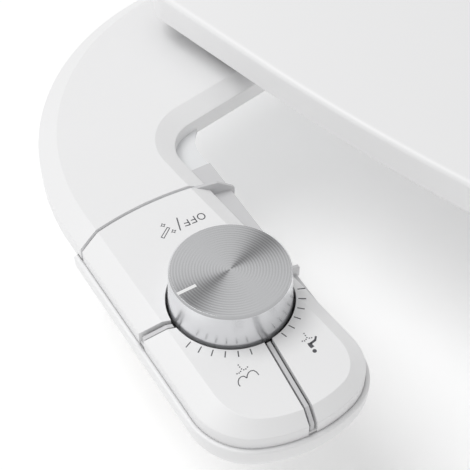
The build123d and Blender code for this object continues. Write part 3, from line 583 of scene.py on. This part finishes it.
def turned_wedges():
    """Node group of painted reflection on a turned face: brightness over the angle round the axis and fine rings
    over the radius, painted into the colour.

    Two dark wedges of painted reflection lie opposite each other along X: 1 - deep * exp(-(sin(angle - lean) /
    width)^2). The rings are a painted sheen, strongest along X.
    """
    if "turned_wedges" in bpy.data.node_groups:
        return bpy.data.node_groups["turned_wedges"]
    g = bpy.data.node_groups.new("turned_wedges", "ShaderNodeTree")
    g.interface.new_socket("Vector", in_out="INPUT", socket_type="NodeSocketVector")
    g.interface.new_socket("Scratch", in_out="INPUT", socket_type="NodeSocketFloat")
    knobs = (("Lean", 0.05), ("Width", 0.36), ("Deep", 0.5), ("Ring Pitch", 1.1 * MM), ("Rings", 0.10))
    for name, value in knobs:
        g.interface.new_socket(name, in_out="INPUT", socket_type="NodeSocketFloat").default_value = value
    g.interface.new_socket("Color", in_out="OUTPUT", socket_type="NodeSocketColor")
    n = g.nodes
    enter, leave = n.new("NodeGroupInput"), n.new("NodeGroupOutput")

    def math_node(operation, a, b=None, c=None):
        node = n.new("ShaderNodeMath")
        node.operation = operation
        for socket, value in zip(node.inputs, (a, b, c)):
            if isinstance(value, (int, float)):
                socket.default_value = value
            elif value is not None:
                link(g, value, socket)
        return node.outputs[0]

    split, size = n.new("ShaderNodeSeparateXYZ"), n.new("ShaderNodeVectorMath")
    size.operation = "LENGTH"
    link(g, enter.outputs["Vector"], split.inputs["Vector"])
    link(g, enter.outputs["Vector"], size.inputs[0])
    # Painted reflection: the dark wedges and the ring sheen stand in for the turned face's reflection of its
    # surroundings.
    angle = math_node("ARCTAN2", split.outputs["Y"], split.outputs["X"])
    side = math_node("SINE", math_node("SUBTRACT", angle, enter.outputs["Lean"]))
    wide = math_node("DIVIDE", side, enter.outputs["Width"])
    dark = math_node("EXPONENT", math_node("MULTIPLY", math_node("MULTIPLY", wide, wide), -1.0))
    body = math_node("SUBTRACT", 1.0, math_node("MULTIPLY", dark, enter.outputs["Deep"]))
    turns = math_node("DIVIDE", size.outputs["Value"], enter.outputs["Ring Pitch"])
    ring_wave = math_node("SINE", math_node("MULTIPLY", turns, 2 * math.pi))
    ring = math_node("MULTIPLY", ring_wave, enter.outputs["Rings"])
    ring_sheen_lobes = math_node("ABSOLUTE", math_node("COSINE", angle))
    level = math_node("ADD", body, math_node("MULTIPLY", ring, ring_sheen_lobes))
    fine = math_node("MULTIPLY_ADD", enter.outputs["Scratch"], 0.24, -0.12)
    level = math_node("ADD", level, fine)
    tone = n.new("ShaderNodeVectorMath")
    tone.operation = "SCALE"
    tone.inputs[0].default_value = bpy.context.scene.finishes.metal
    link(g, level, tone.inputs["Scale"])
    link(g, tone.outputs["Vector"], leave.inputs["Color"])
    return g


def turned_metal():
    """Aluminium turned on a lathe: rings round the axis on top, with painted reflection wedges and a painted
    ring sheen in the top's colour, a fine drawn finish on the side.
    """
    if "turned_aluminium" in MADE:
        return MADE["turned_aluminium"]
    material, tree, shader = new_material("turned_aluminium")
    n = tree.nodes
    place, centre = n.new("ShaderNodeTexCoord"), n.new("ShaderNodeMapping")
    centre.inputs["Location"].default_value = (-DIAL[0], -DIAL[1], -DIAL[2])
    link(tree, place.outputs["Object"], centre.inputs["Vector"])
    flat = n.new("ShaderNodeVectorMath")
    flat.operation = "MULTIPLY"
    flat.inputs[1].default_value = (1, 1, 0)
    link(tree, centre.outputs["Vector"], flat.inputs[0])
    radius = n.new("ShaderNodeVectorMath")
    radius.operation = "LENGTH"
    link(tree, flat.outputs["Vector"], radius.inputs[0])
    pitch = n.new("ShaderNodeMath")
    pitch.operation = "MULTIPLY"
    pitch.inputs[1].default_value = 2 * math.pi / (0.42 * MM)
    link(tree, radius.outputs["Value"], pitch.inputs[0])
    wave = n.new("ShaderNodeMath")
    wave.operation = "SINE"
    link(tree, pitch.outputs[0], wave.inputs[0])
    scratch = n.new("ShaderNodeTexNoise")
    scratch.noise_dimensions = "1D"
    scratch.inputs["Scale"].default_value = 9000.0
    scratch.inputs["Detail"].default_value = 3.0
    link(tree, radius.outputs["Value"], scratch.inputs["W"])
    height = n.new("ShaderNodeMath")
    height.operation = "MULTIPLY_ADD"
    link(tree, scratch.outputs["Fac"], height.inputs[0])
    height.inputs[1].default_value = 1.4
    link(tree, wave.outputs[0], height.inputs[2])
    bump = n.new("ShaderNodeBump")
    bump.inputs["Strength"].default_value = 1.0
    bump.inputs["Distance"].default_value = 0.000006
    link(tree, height.outputs[0], bump.inputs["Height"])
    link(tree, bump.outputs["Normal"], shader.inputs["Normal"])
    painted_reflection_node = n.new("ShaderNodeGroup")
    painted_reflection_node.node_tree = turned_wedges()
    link(tree, flat.outputs["Vector"], painted_reflection_node.inputs["Vector"])
    link(tree, scratch.outputs["Fac"], painted_reflection_node.inputs["Scratch"])
    upward = n.new("ShaderNodeNewGeometry")
    split = n.new("ShaderNodeSeparateXYZ")
    link(tree, upward.outputs["True Normal"], split.inputs["Vector"])
    reflection_paint_top = n.new("ShaderNodeMath")
    reflection_paint_top.operation = "GREATER_THAN"
    reflection_paint_top.inputs[1].default_value = 0.9
    link(tree, split.outputs["Z"], reflection_paint_top.inputs[0])
    # Only the upward faces get the painted reflection in their colour; the other faces keep the plain metal
    # colour.
    colour = n.new("ShaderNodeMix")
    colour.data_type = "RGBA"
    metal = bpy.context.scene.finishes.metal
    colour.inputs[6].default_value = (*metal, 1)
    link(tree, reflection_paint_top.outputs[0], colour.inputs[0])
    link(tree, painted_reflection_node.outputs["Color"], colour.inputs[7])
    link(tree, colour.outputs[2], shader.inputs["Base Color"])
    shader.inputs["Metallic"].default_value = 1.0
    shader.inputs["Roughness"].default_value = 0.27
    shader.inputs["Anisotropic"].default_value = 0.35
    tangent = n.new("ShaderNodeTangent")
    tangent.direction_type, tangent.axis = "RADIAL", "Z"
    link(tree, tangent.outputs["Tangent"], shader.inputs["Tangent"])
    return material


def plain_metal(name, colour, roughness, scale=900.0):
    """Bright metal with a fine uneven polish."""
    if name in MADE:
        return MADE[name]
    material = moulded_material(name, colour, roughness, cloud=0.12, grain=0.35, grain_scale=scale)
    material.node_tree.nodes["Principled BSDF"].inputs["Metallic"].default_value = 1.0
    return material


# ---- Pieces ----
class BIDET_OT_base_cover(bpy.types.Operator):
    """Make the base and arm cover"""

    bl_idname = "bidet.base_cover"
    bl_label = "Base cover"

    def execute(self, context):
        d = context.scene.deck_sizes
        cover = deck_solid("base_cover_shell", COVER_LOW.z)
        combine(cover, seam_disc(d.seam_gap / 2), "DIFFERENCE")
        low_corner, gap = COVER_LOW.z, 0.3 * MM
        x0, x1 = -d.pod_half - 2 * MM - gap, d.pod_half + 2 * MM + gap
        rear = 57.0 * MM + gap
        trim = [pod_to_deck(x, y) for x, y in ((x0, 0), (x1, 0), (x1, rear), (x0, rear))]
        combine(cover, prism("trim", trim, low_corner - 5 * MM, TUB_HIGH.z + gap), "DIFFERENCE")
        for x in (-BOLT_X, BOLT_X):
            combine(cover, disc("bolt_well", (x, 0), 13.85 * MM, -0.05, 0.05, 128), "DIFFERENCE")
        neck = [(-25 * MM, -36 * MM), (-25 * MM, -50 * MM), (25 * MM, -50 * MM), (25 * MM, -36 * MM)]
        combine(cover, prism("neck", neck, -0.01, 9.0 * MM), "DIFFERENCE")
        soften(cover, d.edge_r)
        finish_piece(cover, "base_and_arm_cover", "base", "white_cover", white_cover(), "base_cover")
        return {"FINISHED"}


class BIDET_OT_panels(bpy.types.Operator):
    """Make the three panels of the control pod"""

    bl_idname = "bidet.panels"
    bl_label = "Control panels"

    def execute(self, context):
        d = context.scene.deck_sizes
        shell = deck_solid("panels", PANEL_FOOT)
        combine(shell, seam_disc(-d.seam_gap / 2), "INTERSECT")
        combine(shell, disc("well", DIAL, d.well_r, -0.05, 0.05, 256), "DIFFERENCE")
        combine(shell, strips(d.side_groove_w, d.front_groove_w), "DIFFERENCE")
        for part in split_parts(shell):
            centre = sum((Vector(c) for c in part.bound_box), Vector()) / 8
            name = "panel_stop"
            if centre.y < DIAL[1]:
                name = "panel_rear_wash" if centre.x < DIAL[0] - 5 * MM else "panel_front_wash"
            soften(part, d.edge_r)
            finish_piece(part, name + "_shell", "base", "white_cover", white_cover(), name)
        return {"FINISHED"}


class BIDET_OT_tub(bpy.types.Operator):
    """Make the rounded lower tub of the pod"""

    bl_idname = "bidet.tub"
    bl_label = "Pod tub"

    def execute(self, context):
        d = context.scene.deck_sizes
        ledge, rear, round_r, upright = 2.0 * MM, 57.0 * MM, 11.1 * MM, 3.0 * MM
        spare = 30.0 * MM
        tips, (side, far) = front_corners(ledge)
        corners = [(*crossing(side, far, (0, 1), rear + spare), 2 * MM),
                   (-d.pod_half - ledge, rear + spare, 2 * MM)]
        points, normals = rounded_outline(corners + tips, 1.0 * MM)
        top, low = TUB_HIGH.z, TUB_LOW.z
        edge = rounded_profile([(3 * MM, top, 0), (0, top, 0.9 * MM), (0, top - upright, 0)], 6)
        turn = np.linspace(0, math.pi / 2, 18)[1:]
        curve = np.c_[round_r * (1 - np.cos(turn)), low + round_r * (1 - np.sin(turn))]
        rows = rim_rows(points, normals, np.concatenate([edge, curve, [[round_r + 1 * MM, low]]]))
        shape = rows.shape
        plan = np.array([pod_to_deck(x, y) for x, y in rows[..., :2].reshape(-1, 2)]).reshape(*shape[:2], 2)
        tub = closed_rim("tub", np.concatenate([plan, rows[..., 2:]], 2))
        room = rim_rows(points, normals, np.array([[2.4 * MM, top + 1 * MM], [2.4 * MM, low + round_r],
                                                   [round_r, low + 2.6 * MM]]))
        shape = room.shape
        plan = np.array([pod_to_deck(x, y) for x, y in room[..., :2].reshape(-1, 2)]).reshape(*shape[:2], 2)
        combine(tub, closed_rim("room", np.concatenate([plan, room[..., 2:]], 2)), "DIFFERENCE")
        wide = 0.09
        box = [pod_to_deck(x, y) for x, y in ((-wide, -wide), (wide, -wide), (wide, rear), (-wide, rear))]
        combine(tub, prism("front_part", box, -0.05, 0.05), "INTERSECT")
        for x, y in ((-25, -34), (25, -34), (-25, 46), (25, 46)):
            hole = disc("screw_hole", pod_to_deck(x * MM, y * MM), 3.4 * MM, low - 1 * MM, low + 2.5 * MM, 64)
            combine(tub, hole, "DIFFERENCE")
        soften(tub, 0)
        finish_piece(tub, "pod_tub_shell", "base", "white_cover", white_cover(), "pod_tub")
        return {"FINISHED"}


class BIDET_OT_dial(bpy.types.Operator):
    """Make the turned dial cap and its pointer line"""

    bl_idname = "bidet.dial"
    bl_label = "Dial"

    def execute(self, context):
        foot_radius = (CAP_HIGH.x - CAP_LOW.x) / 2
        radius = foot_radius - 0.9 * MM
        top, foot, wall = CAP_HIGH.z, CAP_LOW.z, 1.6 * MM
        section = rounded_profile([
            (0.2 * MM, top, 0), (radius - 0.75 * MM, top, 0.12 * MM), (radius, top - 0.75 * MM, 0.15 * MM),
            (foot_radius, foot, 0.3 * MM), (radius - wall, foot, 0.3 * MM),
            (radius - wall, top - wall, 0.5 * MM), (0.2 * MM, top - wall, 0)], 5)
        cap = lathe("cap", section, DIAL, 288)
        cap.data.shade_smooth()
        cap.data.set_sharp_from_angle(angle=math.radians(35))
        step = cap.modifiers.new("normals", "WEIGHTED_NORMAL")
        step.keep_sharp = True
        settle(cap)
        finish_piece(cap, "dial_cap_turned", "dial", "turned_aluminium", turned_metal(), "dial_cap")
        low, high = 14.3 * MM, 21.9 * MM
        half = 0.65 * MM
        line_corners = ((-high, -half), (-low, -half), (-low, half), (-high, half))
        bar = prism("bar", [pod_to_deck(*p) for p in line_corners], top - 0.4 * MM, top + 0.04 * MM)
        soften(bar, 0.03 * MM)
        white = moulded_material("white_inlay", (0.9, 0.9, 0.9), 0.3, grain=0.05)
        finish_piece(bar, "dial_pointer_line", "dial", "white_inlay", white, "dial_pointer")
        return {"FINISHED"}


def ribbon(path, width, closed=False):
    """Vertices and faces of a thin flat line drawn on the pod's top along path, in millimetres.

    path holds (forward, outward) places on the pod's own axes, seen from the dial's axis.
    """
    p = np.array(path, float)
    ahead = np.roll(p, -1, 0) - p
    if not closed:
        ahead[-1] = ahead[-2]
    ahead /= np.linalg.norm(ahead, axis=1)[:, None]
    before = np.roll(ahead, 1, 0)
    if not closed:
        before[0] = ahead[0]
    side = np.stack([-(ahead + before)[:, 1], (ahead + before)[:, 0]], 1)
    side /= (1 + (ahead * before).sum(1, keepdims=True)).clip(0.4)
    rows = []
    for shift, z in ((-0.5, INK_LOW), (-0.5, INK_HIGH), (0.5, INK_HIGH), (0.5, INK_LOW)):
        edge = p + side * width * shift
        rows.append([(*pod_to_deck(-l * MM, -a * MM), z) for a, l in edge])
    count, vertices, faces = len(p), [v for row in rows for v in row], []
    for r in range(4):
        for j in range(count if closed else count - 1):
            k, q = (j + 1) % count, (r + 1) % 4
            faces.append([r * count + j, r * count + k, q * count + k, q * count + j])
    if not closed:
        faces += [[0, count, 2 * count, 3 * count], [count - 1, 2 * count - 1, 3 * count - 1, 4 * count - 1]]
    return vertices, faces


def blot(a, l, radius, stretch=1.0, turn=0.0):
    """A filled oval mark as one short wide ribbon."""
    t = np.linspace(0, 2 * math.pi, 20, endpoint=False)
    x, y = radius * stretch * np.cos(t), radius * np.sin(t)
    c, s = math.cos(turn), math.sin(turn)
    ring = [pod_to_deck(-(l + s * u + c * v) * MM, -(a + c * u - s * v) * MM) for u, v in zip(x, y)]
    vertices = [(*q, z) for z in (INK_LOW, INK_HIGH) for q in ring]
    count = len(ring)
    faces = [[j, (j + 1) % count, count + (j + 1) % count, count + j] for j in range(count)]
    return vertices, faces + [list(range(count)), list(range(count, 2 * count))]


INK_LOW, INK_HIGH = DECK_TOP - 0.05 * MM, DECK_TOP + 0.03 * MM


def scale_marks():
    """Short radial lines on both sides of the front groove, longer away from it."""
    marks = []
    for side in (-1, 1):
        for k in range(6):
            angle = math.radians(15.5 + 10.1 * k) * side
            near, far = 24.9 + 0.05 * k, 27.4 + 0.14 * k
            path = [(r * math.cos(angle), r * math.sin(angle)) for r in (near, far)]
            marks.append(ribbon(path, 0.42))
    return marks


def icon_marks():
    """Rear wash, front wash, the word for the closed position and the nozzle cleaning mark."""
    marks = [ribbon([(35.6, 18.0), (34.6, 18.05), (33.6, 17.6), (32.7, 16.7), (32.4, 15.6), (32.7, 14.7),
                     (33.9, 14.2)], 0.36),
             ribbon([(33.9, 14.2), (33.1, 13.6), (32.3, 12.6), (32.05, 11.6), (32.4, 10.6), (33.5, 10.05),
                     (35.0, 10.0)], 0.36)]
    dots = [(27.7, 13.9), (28.7, 13.9), (29.7, 13.8), (30.4, 13.3), (30.5, 12.5), (30.1, 11.6), (30.4, 14.6),
            (30.7, 15.4), (30.6, 16.2), (28.5, -13.4), (29.5, -13.35), (30.5, -13.3), (31.2, -13.9),
            (31.5, -14.7), (31.0, -12.6), (31.3, -11.8), (31.0, -11.0)]
    marks += [blot(a, l, 0.27) for a, l in dots]
    marks += [blot(36.8, -12.3, 0.8), ribbon([(32.9, -12.7), (33.8, -12.5), (35.2, -12.6)], 1.5),
              ribbon([(33.4, -12.9), (33.0, -15.1)], 0.9), ribbon([(33.2, -15.0), (31.7, -16.4)], 0.75)]
    marks.append(ribbon([(-40.7 + 1.6 * math.cos(t), -11.4 + 1.45 * math.sin(t))
                         for t in np.linspace(0, 2 * math.pi, 28, endpoint=False)], 0.46, True))
    for line in ([(-42.3, -5.75), (-39.0, -5.45)], [(-39.15, -5.45), (-39.5, -3.4)],
                 [(-40.6, -5.6), (-40.95, -3.7)], [(-42.6, -8.75), (-39.0, -8.55)],
                 [(-39.15, -8.55), (-39.3, -6.5)], [(-40.7, -8.7), (-41.0, -6.8)]):
        marks.append(ribbon(line, 0.46))
    marks.append(ribbon([(-45.2, -2.8), (-38.5, -0.7)], 0.5))
    marks.append(ribbon([(-42.6, 2.95), (-41.8, 2.3), (-38.3, 6.8), (-39.3, 7.5)], 0.34, True))
    for a, l in ((-44.5, 3.8), (-39.5, 1.8)):
        star = [(0.95, 0), (0.35, 0.35), (0, 0.95), (-0.35, 0.35), (-0.95, 0), (-0.35, -0.35), (0, -0.95),
                (0.35, -0.35)]
        marks.append(ribbon([(a + u, l + v) for u, v in star], 0.28, True))
    return marks


class BIDET_OT_marks(bpy.types.Operator):
    """Print the scale and the icons on the panels"""

    bl_idname = "bidet.marks"
    bl_label = "Printed marks"

    def execute(self, context):
        for name, marks in (("dial_scale", scale_marks()), ("panel_icons", icon_marks())):
            vertices, faces = [], []
            for more, rings in marks:
                faces += [[len(vertices) + i for i in ring] for ring in rings]
                vertices += more
            finish_piece(make_piece(name, vertices, faces), name, "base", "well_grey", ink())
        return {"FINISHED"}


def lid_outline(inset, rear, step=2.0 * MM):
    """Outline of lid or ring drawn in by inset: square rear, bowed sides and a round front.

    The corner points are where the tangents at the joins of the arcs cross.
    """
    z = bpy.context.scene.lid_sizes
    half, side_r, front_r = z.half - inset, z.side_r - inset, z.front_r - inset
    cx = side_r - half
    drop = math.sqrt((side_r - front_r) ** 2 - cx ** 2)
    nx, ny = cx / (side_r - front_r), drop / (side_r - front_r)
    nose_centre = z.straight - drop
    # the tangent where side bow and front arc meet has the outward normal (nx, -ny) on the right
    meet = (front_r * nx, nose_centre - front_r * ny)
    offset = nx * meet[0] - ny * meet[1]
    side_corner = (half, (nx * half - offset) / ny)
    nose = (0.0, -offset / ny)
    corner_r = max(z.corner_r, 4 * MM)
    corners = [(half, rear, corner_r), (-half, rear, corner_r), (-side_corner[0], side_corner[1], side_r),
               (nose[0], nose[1], front_r), (side_corner[0], side_corner[1], side_r)]
    return rounded_outline(corners, step)


class BIDET_OT_lid(bpy.types.Operator):
    """Make the lid"""

    bl_idname = "bidet.lid"
    bl_label = "Lid"

    def execute(self, context):
        z = context.scene.lid_sizes
        points, normals = lid_outline(0, LID_HIGH.y)
        top, foot, wall = LID_HIGH.z, LID_LOW.z, z.wall
        outer = rounded_profile([
            (wall, foot, 0), (0, foot, 0.5 * MM), (0, top, z.edge_r), (z.edge_r + 3 * MM, top, 0)], 12)
        rows = rim_rows(points, normals, outer)
        last = rows[-1]
        centre = np.array([0.0, -0.19, 0.0])
        share = np.linspace(0, 1, 26)[1:-1]
        fill = last[None] + (centre - last)[None] * share[:, None, None]
        fill[..., 2] = top + z.crown * (1 - (1 - share[:, None]) ** 2)
        inner = rounded_profile([
            (wall, foot, 0), (wall, top - wall, 2.5 * MM), (z.edge_r + 6 * MM, top - wall, 0)], 5)
        inside = rim_rows(points, normals, inner[1:])
        rows = np.concatenate([fill[::-1], rows[::-1], inside])
        lid = closed_rim("lid", rows)
        reach = 1.5 * 8.0 * MM + 1.0 * MM + 2.0 * MM
        notch_front, notch_rear = 13.5 * MM, 30 * MM
        for side in (-1, 1):
            x = side * 108.0 * MM
            corners = [(x - reach, notch_front), (x + reach, notch_front),
                       (x + reach, notch_rear), (x - reach, notch_rear)]
            combine(lid, prism("notch", corners, foot - 5 * MM, top - wall), "DIFFERENCE")
        soften(lid, 0)
        finish_piece(lid, "lid_moulding", "lid", "white_lid", white_lid(), "lid_shell")
        return {"FINISHED"}


class BIDET_OT_seat(bpy.types.Operator):
    """Make the seat ring"""

    bl_idname = "bidet.seat"
    bl_label = "Seat ring"

    def execute(self, context):
        z = context.scene.lid_sizes
        points, normals = lid_outline(z.seat_inset, RING_HIGH.y)
        middle = np.array([0.0, (z.hole_from + z.hole_to) / 2])
        reach = np.array([z.hole_half, (z.hole_from - z.hole_to) / 2])
        angle = np.arctan2((points[:, 1] - middle[1]) / reach[1], (points[:, 0] - middle[0]) / reach[0])
        hole = middle + reach * np.c_[np.cos(angle), np.sin(angle)]
        out = np.c_[np.cos(angle) / reach[0], np.sin(angle) / reach[1]]
        out /= np.linalg.norm(out, axis=1)[:, None]
        top, foot, r = RING_HIGH.z, RING_LOW.z, z.seat_edge_r
        section = rounded_profile([(2 * MM, foot, 0), (0, foot, 1.0 * MM), (0, top - 1.2 * MM, r),
                                   (r + 2 * MM, top - 0.5 * MM, 0)], 8)
        outer = rim_rows(points, normals, section)
        inner = rim_rows(hole, -out, section)
        share = np.linspace(0, 1, 10)[1:-1, None, None]
        across = outer[-1][None] * (1 - share) + inner[-1][None] * share
        across[..., 2] = top - 0.5 * MM + 0.5 * MM * np.sin(math.pi * share[..., 0])
        rows = np.concatenate([outer, across, inner[::-1]])
        count = rows.shape[1]
        faces = grid_faces(rows.shape[0], count)
        last = (rows.shape[0] - 1) * count
        faces += [[last + j, last + (j + 1) % count, (j + 1) % count, j] for j in range(count)]
        ring = make_piece("ring", rows, faces)
        soften(ring, 0)
        finish_piece(ring, "seat_ring_moulding", "seat", "white_lid", white_lid(), "seat_ring")
        return {"FINISHED"}


NODE_FINISH = {
    "white_inner": ("base_pan", "nozzle_block", "nozzle_guard", "hinge_tower_right", "hinge_tower_left",
                    "seat_hinge_arms", "lid_hinge_arms"),
    "groove_rib": ("pod_frame",),
    "white_cover": ("bolt_caps",),
    # The near-black ring in the dial's well is painted shade: it stands for the shadowed gap round the dial.
    "dark_moulding": ("dial_well_ring",),
    "steel": ("seat_bolts", "bolt_washers", "hinge_pin_right", "hinge_pin_left", "guard_pin", "cover_screws",
              "tub_screws", "nozzle_spring_rear", "nozzle_spring_front", "valve_stem"),
    "brass": ("inlet_fitting", "valve_bonnet"),
    "grey_acetal": ("adjuster_discs", "valve_body", "inlet_lock_nut", "tube_clips", "nozzle_manifold",
                    "dial_core", "nozzle_tube_rear", "nozzle_tip_rear", "nozzle_tube_front", "nozzle_tip_front"),
    "pale_rubber": ("rim_pads", "seat_bumpers", "lid_bumpers"),
    "black_rubber": ("stem_o_rings", "nozzle_seal_rear", "nozzle_seal_front", "inlet_washer"),
    "ceramic": ("valve_seat_disc", "valve_rotor_disc"),
    "milky_tube": ("water_tube_rear", "water_tube_front", "water_tube_clean"),
}


def node_material(kind):
    """The finish of CAD nodes that are shown as they are."""
    if kind == "white_inner":
        return white_inner()
    if kind == "white_cover":
        return white_cover()
    if kind == "steel":
        return plain_metal("steel", (0.62, 0.62, 0.63), 0.3)
    if kind == "brass":
        return plain_metal("brass", (0.78, 0.66, 0.42), 0.3)
    colours = {
        "groove_rib": ((0.66, 0.66, 0.67), 0.35),
        # near-black: painted shade of the gap round the dial
        "dark_moulding": ((0.05, 0.05, 0.055), 0.55),
        "grey_acetal": ((0.55, 0.56, 0.58), 0.45),
        "pale_rubber": ((0.66, 0.66, 0.66), 0.75),
        "black_rubber": ((0.02, 0.02, 0.02), 0.7),
        "ceramic": ((0.8, 0.78, 0.72), 0.2),
        "milky_tube": ((0.7, 0.75, 0.78), 0.25),
    }
    colour, roughness = colours[kind]
    return moulded_material(kind, colour, roughness)


class BIDET_OT_node_finishes(bpy.types.Operator):
    """Give every model node that stays visible its material"""

    bl_idname = "bidet.node_finishes"
    bl_label = "Hardware finishes"

    def execute(self, context):
        for kind, names in NODE_FINISH.items():
            for name in names:
                node = frame["nodes"][name]
                node.data.materials.clear()
                node.data.materials.append(node_material(kind))
        return {"FINISHED"}


class BIDET_OT_stage(bpy.types.Operator):
    """Make the floor, lights and camera"""

    bl_idname = "bidet.stage"
    bl_label = "Stage"

    def execute(self, context):
        s = context.scene.stage_settings
        target = Vector((DIAL[0], DIAL[1], CAP_HIGH.z))
        right = Vector((math.cos(s.heading), math.sin(s.heading), 0))
        level = Vector((-math.sin(s.heading), math.cos(s.heading), 0))
        ahead = level * math.cos(s.pitch) - Vector((0, 0, math.sin(s.pitch)))
        up = level * math.sin(s.pitch) + Vector((0, 0, math.cos(s.pitch)))
        f = s.lens / 36.0
        ray = (ahead - right * (0.0098 / f) - up * (0.0723 / f)).normalized()
        camera = bpy.data.cameras.new("camera")
        camera.lens, camera.clip_start, camera.clip_end = s.lens, 0.01, 50.0
        eye = bpy.data.objects.new("camera", camera)
        turn = Matrix((right, up, -ahead)).transposed().to_4x4()
        eye.matrix_world = Matrix.Translation(target - ray * s.distance) @ turn
        context.scene.collection.objects.link(eye)
        context.scene.camera = eye
        floor_z = CAD_BOX[0][2] - s.floor_gap
        size = 6.0
        floor_corners = [(-size, -size, floor_z), (size, -size, floor_z),
                         (size, size, floor_z), (-size, size, floor_z)]
        floor = make_piece("studio_floor", floor_corners, [[0, 1, 2, 3]], False)
        material, _, shader = new_material("studio_floor")
        shader.inputs["Base Color"].default_value = (0.97, 0.97, 0.97, 1)
        shader.inputs["Emission Color"].default_value = (1, 1, 1, 1)
        shader.inputs["Emission Strength"].default_value = 0.15
        shader.inputs["Roughness"].default_value = 0.9
        floor.data.materials.append(material)
        world = context.scene.world or bpy.data.worlds.new("studio")
        context.scene.world = world
        world.use_nodes = True
        world.node_tree.nodes["Background"].inputs["Color"].default_value = (1, 1, 1, 1)
        world.node_tree.nodes["Background"].inputs["Strength"].default_value = 0.54
        lamps = [
            ("key", (-0.60, 0.34, 1.15), 0.9, 7.6),
        ]
        for name, place, size, power in lamps:
            lamp = bpy.data.lights.new(name, "AREA")
            lamp.shape, lamp.size, lamp.energy = "DISK", size, power
            holder = bpy.data.objects.new(name, lamp)
            place = Vector(place)
            holder.location = place
            holder.rotation_euler = (Vector((-0.2, -0.1, 0)) - place).to_track_quat("-Z", "Y").to_euler()
            context.scene.collection.objects.link(holder)
        context.scene.view_settings.view_transform = "Standard"
        return {"FINISHED"}


STEPS = ("stage", "base_cover", "panels", "tub", "dial", "marks", "lid", "seat", "node_finishes")


class BIDET_PT_panel(bpy.types.Panel):
    """Lists the steps that build the bidet seat"""

    bl_idname = "BIDET_PT_panel"
    bl_label = "Bidet seat"
    bl_space_type = "VIEW_3D"
    bl_region_type = "UI"
    bl_category = "Bidet seat"

    def draw(self, context):
        for step in STEPS:
            self.layout.operator(f"bidet.{step}")


CLASSES = (
    DeckSizes, LidSizes, Finishes, StageSettings, BIDET_OT_base_cover, BIDET_OT_panels, BIDET_OT_tub,
    BIDET_OT_dial, BIDET_OT_marks, BIDET_OT_lid, BIDET_OT_seat, BIDET_OT_node_finishes, BIDET_OT_stage,
    BIDET_PT_panel,
)
SETTINGS = {
    "deck_sizes": DeckSizes, "lid_sizes": LidSizes, "finishes": Finishes,
    "stage_settings": StageSettings,
}


def register():
    for item in CLASSES:
        bpy.utils.register_class(item)
    for name, group in SETTINGS.items():
        setattr(bpy.types.Scene, name, PointerProperty(type=group))


def unregister():
    for name in SETTINGS:
        delattr(bpy.types.Scene, name)
    for item in reversed(CLASSES):
        bpy.utils.unregister_class(item)


def main():
    """Builds everything."""
    register()
    for step in STEPS:
        getattr(bpy.ops.bidet, step)()


if __name__ == "__main__":
    main()
